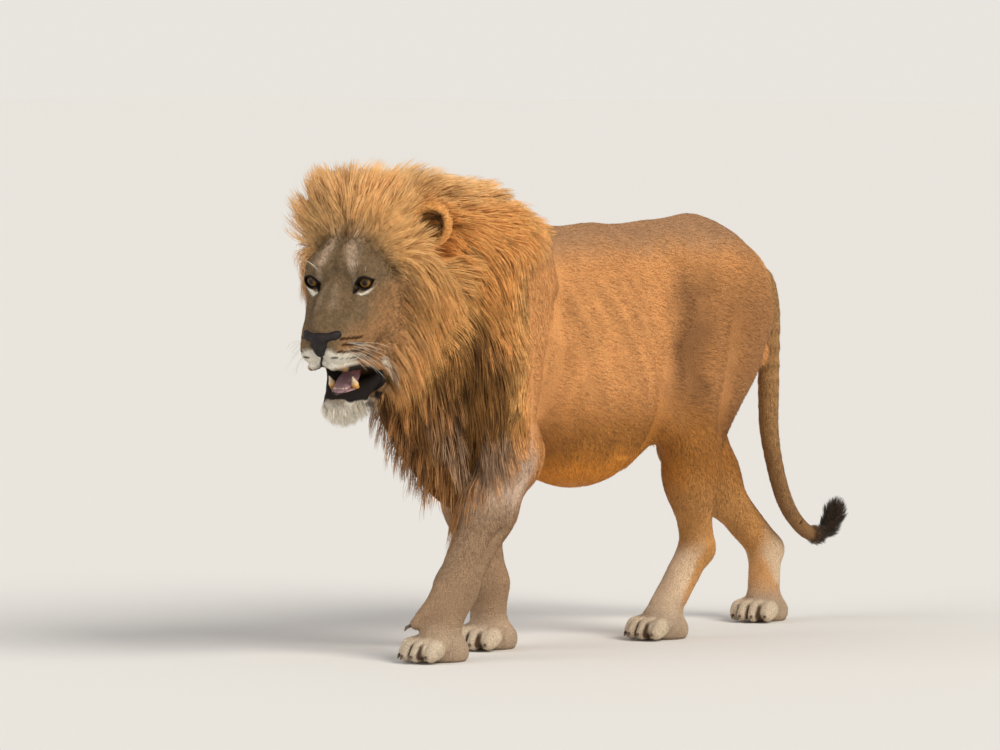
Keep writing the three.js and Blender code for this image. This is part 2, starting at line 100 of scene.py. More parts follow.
# ---- roots of the coat, to the square metre ----
MANE_ROOTS = 27000
FRINGE_ROOTS = 16000
RUFF_ROOTS = 96000
TUFT_ROOTS = 170000
BEARD_ROOTS = 120000
EAR_ROOTS = 70000
BODY_ROOTS, FOOT_ROOTS, FACE_ROOTS = 34000, 60000, 260000
PIECE_TRIANGLES = 190000  # the most in a piece of the coat
HAIR_FLOOR = 0.2  # the lowest that a hair reaches over the floor
PATCH = 0.0015  # half of a lock's patch in its map

# ---- colours, linear ----
TAN = (0.76, 0.35, 0.125)
BACK = (0.5, 0.27, 0.135)
# painted shade of the lower flank, also laid on the left foreleg as a painted lit rim
FLANK_SHADE_AND_LIT_RIM = (0.34, 0.128, 0.015)
# painted warm light bounced up onto the belly's underside
BOUNCE_LIT_BELLY = (0.9, 0.34, 0.045)
# painted shade: between the ribs, down the front of the thigh and over the haunch
THIGH_SHADE = (0.15, 0.068, 0.028)
SHIN = (0.39, 0.25, 0.15)
SHIN_PALE = (0.82, 0.66, 0.48)
SHIN_UPPER = (0.72, 0.53, 0.40)
SHIN_WARM, HOCK_WARM = (0.70, 0.36, 0.14), (0.64, 0.30, 0.085)
# painted sunlight on the patch behind the left elbow
SUNLIT_PEACH = (0.98, 0.48, 0.17)
TOE_CREAM = (0.86, 0.72, 0.54)
CREAM = (0.55, 0.41, 0.29)
GOLD = (0.98, 0.49, 0.15)
SUNLIT = (0.98, 0.56, 0.20)
BLOND = (0.98, 0.62, 0.27)
RUSSET = (0.62, 0.27, 0.07)
BROWN = (0.045, 0.016, 0.003)
FACE = (0.2, 0.133, 0.07)
FACE_DARK = (0.09, 0.058, 0.03)
FACE_WARM = (0.45, 0.235, 0.1)
CHEEK = (0.84, 0.50, 0.25)
WHITE = (0.93, 0.87, 0.75)
BLACK = (0.012, 0.009, 0.009)
GUM = (0.24, 0.065, 0.06)
TAIL_TAN = (0.32, 0.17, 0.07)
TAIL_UPPER = (0.44, 0.24, 0.095)
TUFT_BLACK = (0.022, 0.016, 0.014)
EAR_DARK = (0.05, 0.025, 0.012)
IRIS = (0.15, 0.07, 0.018)
IRIS_PALE = (0.34, 0.17, 0.035)
IRIS_RIM = (0.035, 0.018, 0.008)
SCLERA = (0.10, 0.06, 0.04)
PUPIL = (0.003, 0.002, 0.003)
NOSE = (0.013, 0.007, 0.008)
TONGUE = (0.44, 0.25, 0.28)
TOOTH = (0.88, 0.72, 0.48)
TOOTH_OLD = (0.72, 0.36, 0.09)
CLAW, CLAW_TIP = (0.07, 0.045, 0.03), (0.24, 0.17, 0.11)
WHISKER = (0.85, 0.80, 0.70)
HAIR_GLOW = (1.0, 0.5, 0.14, 1)


# ---- fields ----
def turn(x, y, z):
    """Turned about x, then y, then z, in degrees."""
    x, y, z = (Matrix.Rotation(math.radians(a), 3, axis) for a, axis in ((x, "X"), (y, "Y"), (z, "Z")))
    return np.array(z @ y @ x)


def egg(centre, radii, tilt=(0, 0, 0)):
    c, r, m = np.array(centre, float), np.array(radii, float), turn(*tilt)

    def field(p):
        q = (p - c) @ m / r
        k = np.sqrt((q * q).sum(1))
        slope = np.sqrt(((q / r) ** 2).sum(1))
        return k * (k - 1) / np.maximum(slope, 1e-9)

    return field


def bone(a, b, ra, rb, flat=1.0):
    squeeze = np.array([1 / flat, 1, 1])
    a, b = np.array(a[:3]) * squeeze, np.array(b[:3]) * squeeze
    d = b - a

    def field(p):
        e = p * squeeze - a
        t = np.clip(e @ d / (d @ d), 0, 1)
        return (np.sqrt(((e - t[:, None] * d) ** 2).sum(1)) - ra - t * (rb - ra)) * min(flat, 1)

    return field


def blend(k, *fields):
    def field(p):
        total = fields[0](p)
        for f in fields[1:]:
            d = f(p)
            h = np.maximum(k - np.abs(total - d), 0) / k
            total = np.minimum(total, d) - h * h * k / 4
        return total

    return field


def carve(k, f, *tools):
    cut = blend(k, *tools)

    def field(p):
        a, b = f(p), -cut(p)
        h = np.maximum(k - np.abs(a - b), 0) / k
        return np.maximum(a, b) + h * h * k / 4

    return field


def grow(by, f):
    return lambda p: f(p) - by


def near(f, low, high, pad=110.0):
    """The field worked out only about a box; far from it, a large number."""
    low, high = np.array(low, float) - pad, np.array(high, float) + pad

    def field(p):
        here = ((p > low) & (p < high)).all(1)
        d = np.full(len(p), 500.0)
        if here.any():
            d[here] = f(p[here])
        return d

    return field


def both(make):
    return [make(1), make(-1)]


def eggs(centre, radii, tilt=(0, 0, 0)):
    """An egg of the left side and its mirror image, tilted alike."""
    return both(lambda s: egg((s * centre[0], *centre[1:]), radii, tilt))


def bones(a, b, ra, rb):
    return both(lambda s: bone((s * a[0], *a[1:]), (s * b[0], *b[1:]), ra, rb))


def chain(k, points):
    return blend(k, *(bone(a, b, a[3], b[3]) for a, b in zip(points, points[1:])))


def rounded(points, steps=4):
    """More points along a smooth curve through the given ones."""
    path = np.array([points[0]] + list(points) + [points[-1]], float)
    out = []
    for a, b, c, d in zip(path, path[1:], path[2:], path[3:]):
        for t in np.arange(steps) / steps:
            bend = (2 * a - 5 * b + 4 * c - d) * t**2 + (3 * b - a - 3 * c + d) * t**3
            out.append(0.5 * (2 * b + (c - a) * t + bend))
    return np.array(out + [path[-1]])


def columns(*values):
    return np.stack(values, 1)


def distance(p, centre):
    return np.sqrt(((p - np.array(centre)) ** 2).sum(1))


def ease(low, high, x):
    """From 0 at low to 1 at high, with a soft start and end. High may be the smaller of the two."""
    t = np.clip((x - low) / (high - low), 0, 1)
    return t * t * (3 - 2 * t)


def between(a, b, t):
    return tuple(u + (v - u) * t for u, v in zip(a, b))


def shifted(a, x, y, z):
    return (a[0] + x, a[1] + y, a[2] + z)


HEAD_AXES = turn(0, 0, HEAD_TURN) @ turn(HEAD_NOD, 0, 0)


def to_head(p):
    return (p - np.array(HEAD_AT)) @ HEAD_AXES / HEAD_SCALE


def from_head(q):
    return np.array(q, float) * HEAD_SCALE @ HEAD_AXES.T + np.array(HEAD_AT)


def in_head(f):
    return lambda p: HEAD_SCALE * f(to_head(p))


EYE_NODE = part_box("eye_left")
SHIFT = np.array((EYE_NODE[0] + EYE_NODE[1]) / 2) / MM - from_head(EYE)


def node_box(*nodes):
    """The box about some CAD nodes, in the forms' own frame."""
    boxes = [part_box(n) for n in nodes]
    low = np.min([b[0] for b in boxes], axis=0) / MM - SHIFT
    high = np.max([b[1] for b in boxes], axis=0) / MM - SHIFT
    return low, high


# ---- flesh ----
def trunk_field():
    return blend(
        70,
        egg((0, -250, 760), (168, 260, 255)),
        egg((0, -20, 712), (190, 290, 268)),
        egg((0, 0, 606), (176, 215, 214), (12, 0, 0)),
        egg((0, 250, 800), (140, 220, 200)),
        bone((0, -260, 990), (0, 40, 952), 74, 78),
        bone((0, 40, 950), (0, 420, 968), 80, 92),
        egg((0, 500, 872), (138, 176, 168), (-16, 0, 0)),
        egg((0, 650, 868), (62, 84, 96), (-24, 0, 0)),
        egg((0, -430, 690), (135, 130, 190)),
    )


def fore_field(joints, s):
    shoulder, elbow, wrist = joints["shoulder"], joints["elbow"], joints["wrist"]
    middle = between(elbow, wrist, 0.4)
    return blend(
        46,
        bone((s * 88, -272, 980), shoulder, 58, 80, 0.72),
        egg(shifted(shoulder, -s * 4, 10, -30), (62, 98, 120)),
        bone(shoulder, elbow, 80, 68, 0.86),
        egg(shifted(elbow, 0, 20, 26), (46, 54, 70)),
        bone(elbow, middle, 70, 64, 0.92),
        bone(middle, wrist, 64, 50, 0.96),
    )


def hind_field(joints, s):
    hip, knee, ham, hock = (joints[k] for k in ("hip", "knee", "ham", "hock"))
    calf = between(knee, hock, 0.35)
    return blend(
        46,
        bone(shifted(hip, -s * 6, 0, -10), knee, 118, 68, 0.64),
        bone(shifted(hip, 0, 40, -20), ham, 88, 72, 0.62),
        bone(ham, between(knee, hock, 0.3), 72, 50, 0.66),
        bone(knee, calf, 72, 60, 0.8),
        egg(between(knee, hock, 0.3), (44, 66, 88)),
        bone(calf, hock, 56, 37, 0.8),
        bone(shifted(hock, 0, 22, 8), between(knee, hock, 0.6), 24, 20),
    )


TOES = [(-45, -32, -48), (-16, -48, -66), (16, -48, -66), (45, -32, -48)]  # across, knuckle and tip


def paw_place(joints, size):
    (x, y), a = joints["paw"], math.radians(joints["toes"])
    return lambda u, v, z: (x + size * (u * math.cos(a) - v * math.sin(a)),
                            y + size * (u * math.sin(a) + v * math.cos(a)), size * z)


def dewclaw_fold():
    """The fold of the left wrist that ends at the dewclaw."""
    return bone((60, -556, 162), (34, -618, 92), 22, 13)


def paw_field(joints, top, size, heel):
    at = paw_place(joints, size)
    tilt = (0, 0, joints["toes"])
    toes = []
    for u, knuckle, tip in TOES:
        toes.append(blend(
            16,
            bone(at(u * 0.8, -8, 40), at(u, knuckle, 34), 23 * size, 19.5 * size),
            bone(at(u, knuckle, 32), at(u * 1.04, tip, 20), 18.5 * size, 15.5 * size),
        ))
    return blend(
        5,
        blend(30, bone(top, at(0, 12, 56), heel, 40 * size, 1.05),
              egg(at(0, 22, 30), (54 * size, 62 * size, 38 * size), tilt),
              egg(at(0, 40, 14), (40 * size, 42 * size, 26 * size), tilt)),
        *toes,
    )


upper_head = blend(
    26,
    egg((0, 128, 22), (94, 122, 78)),
    egg((0, 40, -80), (66, 100, 96)),
    egg((0, 46, 34), (74, 62, 42)),
    *eggs((44, 2, 34), (36, 30, 20), (10, 0, 0)),
    *eggs((70, 26, -2), (33, 40, 46)),
    egg((0, -62, -28), (40, 96, 34), (26, 0, 0)),
    egg((0, -92, -82), (46, 58, 44)),
    *eggs((29, -124, -112), (34, 47, 40)),
    *eggs((46, -62, -104), (34, 62, 60)),
    *eggs((56, 0, -72), (38, 66, 60)),
    *bones((68, 10, -42), (104, 96, -40), 28, 34),
    *eggs((68, 80, -100), (50, 80, 96)),
)
lower_jaw = blend(
    26,
    *bones((60, 62, -168), (20, -92, -256), 44, 26),
    egg((0, -112, -256), (36, 36, 33)),
    egg((0, 20, -214), (52, 96, 44), (24, 0, 0)),
)
mouth = blend(
    10,
    egg((0, -128, -190), (98, 128, 36), (-12, 0, 0)),
    egg((0, -50, -196), (38, 76, 36), (14, 0, 0)),
)

# The eye's own frame: x outwards to its side, y into the head, z up, tilted up at its outer corner.
EYE_TURN = 12  # degrees outwards
LID = 5  # thickness of the lids over the eyeball
OPENING = (19.5, 13.5)  # half the length and half the height between the lids


def to_eye(q, s):
    c, k = math.cos(math.radians(EYE_TURN)), math.sin(math.radians(EYE_TURN))
    x, y, z = ((q - np.array((s * EYE[0], EYE[1], EYE[2]))) * np.array((s, 1, 1))).T
    x, y = x * c + y * k, y * c - x * k
    tilt = math.radians(EYE_TILT)
    return x * math.cos(tilt) + z * math.sin(tilt), y, z * math.cos(tilt) - x * math.sin(tilt)


def eye_opening(s):
    def field(q):
        x, y, z = to_eye(q, s)
        half = OPENING[1] * (1 - np.clip(np.abs(x) / OPENING[0], 0, 1.4) ** 2)
        return np.maximum(np.abs(z + 0.5) - half, y + 4)

    return field


LIP_UPPER = [(3, -163, -136), (24, -160, -146), (43, -141, -156),
             (50, -102, -169), (58, -50, -186), (64, -13, -214)]
LIP_LOWER = [(64, -13, -214), (66, -26, -254), (52, -58, -280),
             (36, -104, -268), (16, -136, -247), (0, -142, -243)]
# bare and black, outside the lower lip
LIP_FLAP = [(60, -22, -228, 22), (48, -70, -246, 20), (28, -120, -240, 13), (0, -140, -234, 7)]


def lips():
    rims = bones((45, -124, -161), (57, -66, -176), 9, 9)
    for path, thick in ((LIP_UPPER, 6.5), (LIP_LOWER, 7.5)):
        for a, b in zip(path, path[1:]):
            rims += bones(a, b, thick, thick)
    return rims


def head_field():
    lid = EYE_RADIUS + LID
    soft = blend(9, carve(14, blend(22, upper_head, lower_jaw), mouth), *lips())
    soft = carve(3, blend(12, soft, *eggs(EYE, (lid + 2, lid, lid))), *both(eye_opening))
    groove = bone((0, -176, -112), (0, -174, -146), 3.2, 3.2)
    tears = bones((47, -27, -5), (38, -38, -20), 3.2, 2)
    return carve(4, soft, groove, *tears)


def ear_at(s, out=0, back=0, up=0):
    return (s * (EAR[0] + out), EAR[1] + back, EAR[2] + up)


def ear_field(s):
    tilt = (8, s * 18, s * 28)
    return carve(
        8,
        blend(12, egg(ear_at(s), (48, 25, 60), tilt), egg(ear_at(s, -36, 0, -44), (32, 28, 34))),
        egg(ear_at(s, 6, -24, 0), (33, 32, 46), tilt),
    )


def mane_field():
    hair = blend(
        70,
        in_head(egg((0, 146, 40), (202, 116, 172))),
        in_head(egg((0, 90, -120), (150, 110, 150))),
        egg((10, -600, 1000), (205, 200, 215)),
        egg((0, -420, 950), (232, 215, 235)),
        egg((0, -300, 860), (218, 150, 250), (-14, 0, 0)),
        *eggs((140, -400, 700), (98, 128, 215)),
        egg((0, -520, 720), (185, 165, 250)),
        egg((0, -470, 560), (140, 130, 210), (14, 0, 0)),
    )
    return carve(40, hair, *both(lambda s: in_head(egg(ear_at(s, 34, -6, 10), (72, 52, 74)))))


def mane_end(p):
    """How far a place is ahead of the mane's rear border, which slants forwards down the sides."""
    return -165 + 65 * ease(960, 1040, p[:, 2]) - 1.13 * np.abs(p[:, 0]) - p[:, 1]


def hairy(p, values):
    """Where the long hair grows: behind the face, and on all that lies inside the solid mane."""
    nearest = values.min(1)
    head = values[:, NUMBER["head"]] - nearest < 3
    inside = (envelope(p) < -5) | ((p[:, 2] > 935) & (envelope(p) < 30))
    flesh = (p[:, 2] > 360) & (values[:, NUMBER["ears"]] - nearest > 2)
    return np.where(head, face_border(to_head(p)) > 2, inside & flesh & (mane_end(p) > 0))


def leg_parts():
    parts = {}
    for side, s in SIDES:
        fore, hind = FORE[side], HIND[side]
        limb = blend(24, fore_field(fore, s), paw_field(fore, fore["wrist"], FORE_PAW, 50))
        parts["fore_" + side] = near(limb, *node_box("foreleg_" + side, "fore_paw_" + side, "chest"), 30)
        limb = blend(24, hind_field(hind, s), paw_field(hind, hind["hock"], HIND_PAW, 40))
        parts["hind_" + side] = near(limb, *node_box("hindleg_" + side, "hind_paw_" + side, "rump"), 30)
    return parts


neck = blend(60, bone((10, -700, 880), (0, -400, 850), 110, 160, 0.8),
             bone((0, -400, 850), (0, -250, 800), 160, 185, 0.8))
LEGS = leg_parts()
trunk = blend(60, trunk_field(), neck)
envelope = near(mane_field(), *node_box("mane_crown", "mane_neck", "mane_chest"), 60)
PARTS = {
    "trunk": trunk,
    **LEGS,
    "head": near(in_head(head_field()), *node_box("head", "jaw"), 40),
    "mane": grow(-MANE_DEPTH, envelope),
    "tail": near(grow(-TAIL_COAT, chain(20, rounded(TAIL))), *node_box("tail_root", "tail_end"), 50),
    "tuft": near(grow(-TUFT_COAT, chain(24, TUFT)), *node_box("tail_tuft"), 50),
    "scrotum": near(grow(-3, egg((22, 696, 702), (30, 30, 41))), *node_box("scrotum"), 40),
    "ears": near(blend(8, *both(lambda s: in_head(grow(-1.5, ear_field(s))))),
                 *node_box("ear_left", "ear_right"), 40),
}
NUMBER = {name: i for i, name in enumerate(PARTS)}


def swelling(p, points, size, height):
    """A soft ridge of some height along a line of points."""
    d = chain(1, [(*a, 0.01) for a in points])(p)
    return height * np.exp(-((d / size) ** 2))


RIDGES = [  # lines of the left side, mirrored, how wide each is and how high; below 0 it sinks into the skin
    ([(138, 200, 560), (110, 175, 505), (60, 140, 440)], 30, 12),  # fold of the flank
    ([(172, 190, 600), (140, 150, 540), (70, 100, 440)], 16, -4),
    ([(104, 440, 985), (120, 470, 950)], 34, 8),  # point of the hip
    ([(150, 330, 900), (168, 300, 800), (160, 272, 720)], 34, -6),
    ([(60, -200, 1030), (112, -300, 900), (140, -400, 760)], 36, 6),  # shoulder blade
    ([(150, -250, 860), (170, -250, 700), (160, -270, 560)], 26, -8),
    ([(30, -100, 1040), (34, 420, 1045)], 26, -4),
    ([(0, -100, 1045), (0, 460, 1045)], 16, 4),  # spine
    ([(186, -240, 625), (180, -150, 560), (172, -40, 520), (150, 90, 505)], 5, 2.6),  # veins
    ([(176, -150, 556), (150, -60, 470), (110, 20, 420)], 5, 2.2),
    ([(168, -270, 560), (176, -180, 505), (172, -60, 478), (140, 60, 470)], 9, -4.5),
]


def leg_ridges():
    """Muscles and tendons of the legs, as lines, how wide and how high."""
    out = []
    for side, s in SIDES:
        knee, hock, ham = (np.array(HIND[side][k], float) for k in ("knee", "hock", "ham"))
        shin = [knee + (hock - knee) * t + np.array((s * 34, 14, 0)) for t in (0.3, 0.6, 0.88)]
        out += [
            (shin, 15, -14),  # between the shin and the tendon of the heel
            ([hock + np.array((0, 34, 10)), hock + np.array((0, 26, 60))], 16, 7),
            ([knee + np.array((s * 8, -52, 8)), knee + np.array((s * 8, -48, -24))], 26, 10),
            ([ham + np.array((s * 46, -40, 90)), knee + np.array((s * 50, 70, 20))], 26, -13),
        ]
    for side, s in SIDES:
        elbow, wrist = (np.array(FORE[side][k], float) for k in ("elbow", "wrist"))
        arm = [elbow + (wrist - elbow) * t + np.array((s * 52, 4, 0)) for t in (0.12, 0.45, 0.8)]
        point = [elbow + np.array((s * 12, 66, 14)), elbow + np.array((s * 8, 50, -40))]
        out += [(arm, 16, -11), (point, 28, 14)]
    return out


def relief(p):
    """Ribs, muscles, tendons and folds of the skin, in millimetres outwards."""
    out = 1.3 * noise(p, 75, 51) + 0.7 * noise(p, 30, 52)
    x, y, z = p.T
    bars = np.sin((y + 0.5 * (z - 700)) / 11.5) * ease(-300, -200, y) * ease(170, 60, y)
    out = out + 1.7 * bars * ease(560, 650, z) * ease(960, 880, z)
    half = columns(np.abs(x), y, z)
    for line, size, height in RIDGES:
        out = out + swelling(half, line, size, height)
    for line, size, height in leg_ridges():
        out = out + swelling(p, line, size, height)
    return out


def skin_field(p):
    flesh = blend(LIMB_BLEND, *(PARTS[n] for n in ("trunk", *LEGS)))
    flesh = blend(60, flesh, bone((96, 226, 650), (98, 222, 580), 42, 40))  # the flank's web to the thigh
    flesh = blend(18, flesh, dewclaw_fold())
    d = blend(PART_BLEND, flesh, *(PARTS[n] for n in ("head", "mane", "tail", "scrotum", "tuft", "ears")))(p)
    here = (np.abs(d) < 60) & (p[:, 2] > 90) & (p[:, 1] < 760) & (PARTS["head"](p) > 12)
    if here.any():
        d[here] -= relief(p[here])
    return d


# ---- the skin's mesh ----
def block_values(field, low, shape, cell, block=4, reach=64.0):
    """The field on a grid, worked out in full only in the blocks near its zero."""
    count = [-(-n // block) for n in shape]
    value = np.empty([c * block for c in count], np.float32)
    steps = [low[a] + cell * (block * np.arange(count[a]) + (block - 1) / 2) for a in range(3)]
    centres = np.stack(np.meshgrid(*steps, indexing="ij"), -1).reshape(-1, 3)
    coarse = field(centres).reshape(count)
    value[:] = coarse.repeat(block, 0).repeat(block, 1).repeat(block, 2)
    i, j, k = np.nonzero(np.abs(coarse) < reach)
    inner = np.stack(np.meshgrid(*[np.arange(block)] * 3, indexing="ij"), -1).reshape(-1, 3)
    index = (columns(i, j, k)[:, None] * block + inner).reshape(-1, 3)
    value[tuple(index.T)] = field(low + cell * index)
    return value


def nets(field, low, high, cell):
    """Surface nets: one point in each cell that the zero crosses."""
    low = np.array(low, float) - 2 * cell
    shape = np.ceil((np.array(high) + 2 * cell - low) / cell).astype(int) + 1
    value = block_values(field, low, shape, cell)
    shape = value.shape
    inside = value < 0
    total = np.zeros([n - 1 for n in shape] + [3], np.float32)
    count = np.zeros([n - 1 for n in shape], np.uint8)
    for axis in range(3):
        u, v = (axis + 1) % 3, (axis + 2) % 3
        for cu in (0, 1):
            for cv in (0, 1):
                near_end, far_end = [slice(0, -1)] * 3, [slice(0, -1)] * 3
                near_end[u] = far_end[u] = slice(cu, shape[u] - 1 + cu)
                near_end[v] = far_end[v] = slice(cv, shape[v] - 1 + cv)
                far_end[axis] = slice(1, None)
                a, b = value[tuple(near_end)], value[tuple(far_end)]
                cross = inside[tuple(near_end)] != inside[tuple(far_end)]
                count += cross
                where = np.nonzero(cross)
                t = a[where] / (a[where] - b[where])
                total[(*where, axis)] += t
                total[(*where, u)] += cu
                total[(*where, v)] += cv
    cells = np.nonzero(count)
    points = low + cell * (np.stack(cells, 1) + total[cells] / count[cells][:, None])
    number = np.full(count.shape, -1)
    number[cells] = np.arange(len(points))
    faces = []
    for axis in range(3):
        u, v = (axis + 1) % 3, (axis + 2) % 3
        start, end = [slice(1, -1)] * 3, [slice(1, -1)] * 3
        start[axis], end[axis] = slice(0, -1), slice(1, None)
        cross = inside[tuple(start)] != inside[tuple(end)]
        at = np.stack(np.nonzero(cross), 1)
        at[:, u] += 1
        at[:, v] += 1
        first = inside[tuple(at.T)]
        quad = []
        for du, dv in ((-1, -1), (0, -1), (0, 0), (-1, 0)):
            c = at.copy()
            c[:, u] += du
            c[:, v] += dv
            quad.append(number[tuple(c.T)])
        quad = np.stack(quad, 1)
        quad[~first] = quad[~first][:, ::-1]
        faces += [quad[:, [0, 1, 2]], quad[:, [0, 2, 3]]]
    return points, np.concatenate(faces)


def slope(field, p, e=0.5):
    """The field and its gradient at some points."""
    d = field(p)
    g = columns(*((field(p + e * np.eye(3)[a]) - d) / e for a in range(3)))
    return d, g


def settle(field, p, passes, reach):
    for _ in range(passes):
        d, g = slope(field, p)
        move = d[:, None] * g / np.maximum((g * g).sum(1), 0.2)[:, None]
        p = p - np.clip(move, -reach, reach)
    return p


def refine(points, tris, target):
    """Splits each edge longer than the target at its middle, and the triangles beside it to match."""
    edges = np.sort(np.concatenate([tris[:, [0, 1]], tris[:, [1, 2]], tris[:, [2, 0]]]), 1)
    edges, of_edge = np.unique(edges, axis=0, return_inverse=True)
    of_edge = of_edge.reshape(3, -1).T
    a, b = points[edges[:, 0]], points[edges[:, 1]]
    split = np.sqrt(((a - b) ** 2).sum(1)) > target((a + b) / 2)
    number = np.full(len(edges), -1)
    number[split] = len(points) + np.arange(split.sum())
    middle = number[of_edge]
    cuts = (middle >= 0).sum(1)
    out = [tris[cuts == 0]]
    t, m = tris[cuts == 3], middle[cuts == 3]
    out += [np.stack(c, 1) for c in (
        (t[:, 0], m[:, 0], m[:, 2]), (m[:, 0], t[:, 1], m[:, 1]), (m[:, 2], m[:, 1], t[:, 2]), m.T)]
    for k in range(3):
        order = [(k + i) % 3 for i in range(3)]
        one = (cuts == 1) & (middle[:, k] >= 0)
        t, m = tris[one][:, order], middle[one][:, order]
        out += [np.stack(c, 1) for c in ((t[:, 0], m[:, 0], t[:, 2]), (m[:, 0], t[:, 1], t[:, 2]))]
        two = (cuts == 2) & (middle[:, order[2]] < 0)
        t, m = tris[two][:, order], middle[two][:, order]
        out += [np.stack(c, 1) for c in (
            (m[:, 0], t[:, 1], m[:, 1]), (t[:, 0], m[:, 0], m[:, 1]), (t[:, 0], m[:, 1], t[:, 2]))]
    return np.concatenate([points, ((a + b) / 2)[split]]), np.concatenate(out), split.sum()


def face_border(q):
    """How far behind the line where the face's short hair ends, in the head's own millimetres."""
    x, y, z = q.T
    return y - 66 - 0.17 * np.abs(x) + 75 * ease(-90, -250, z)


def edge_target(p):
    """The longest edge the skin may have at a place."""
    q = to_head(p)
    face = np.where(face_border(q) < 30, 3.4, 30)
    eyes = both(lambda s: distance(q, (s * EYE[0], -26, EYE[2])))
    face = np.where(np.minimum(*eyes) < 30, 1.8, face)
    size = np.where(distance(q, (0, -20, -60)) < 230, face, 30)
    ears = both(lambda s: distance(q, ear_at(s)))
    size = np.where(np.minimum(*ears) < 85, np.minimum(size, 6), size)
    return np.where(p[:, 2] < 95, np.minimum(size, 6.0), size)


def vertex_normals(points, tris):
    a, b, c = (points[tris[:, k]] for k in range(3))
    n = np.cross(b - a, c - a)
    total = np.zeros_like(points)
    for k in range(3):
        for axis in range(3):
            total[:, axis] += np.bincount(tris[:, k], n[:, axis], len(points))
    return total / np.maximum(np.sqrt((total ** 2).sum(1)), 1e-9)[:, None]


# ---- value noise ----
def noise(p, size, seed=0):
    """Smooth noise from -1 to 1."""
    q = p / size
    cell = np.floor(q).astype(np.int64)
    f = q - cell
    f = f * f * (3 - 2 * f)
    total = np.zeros(len(p))
    for corner in range(8):
        c = cell + np.array([corner & 1, (corner >> 1) & 1, corner >> 2])
        h = (c[:, 0] * 73856093 ^ c[:, 1] * 19349663 ^ c[:, 2] * 83492791 ^ (seed * 2654435761)) & 0xFFFFFFFF
        h = (h ^ (h >> 13)) * 1274126177 & 0xFFFFFFFF
        h = (h ^ (h >> 16)) & 0xFFFF
        w = np.ones(len(p))
        for a in range(3):
            w *= f[:, a] if (corner >> a) & 1 else 1 - f[:, a]
        total += w * h
    return total / 32767.5 - 1


def unit(v):
    return v / np.maximum(np.sqrt((v ** 2).sum(-1, keepdims=True)), 1e-9)


def tone(colour):
    """Colours kept below full brightness without a change of hue."""
    return np.maximum(colour * np.minimum(1, 0.98 / np.maximum(colour.max(1), 1e-6))[:, None], 0.002)


def mix(a, b, t):
    t = np.asarray(t)[..., None]
    return np.asarray(a, float) * (1 - t) + np.asarray(b, float) * t


# ---- markings ----
def mottle(p, face, colour):
    """Speckle of a coat whose hairs are dark and pale by turns, strongest on the face, least where white."""
    amount = (0.34 + 1.5 * face) * ease(0.85, 0.45, colour[:, 1])
    grain = noise(p, 3.6, 31) * (1 - face) + noise(p, 4.8, 31) * face
    return np.clip(1 + amount * grain + (0.12 + 0.1 * face) * noise(p, 9, 32), 0.3, 1.9)[:, None]


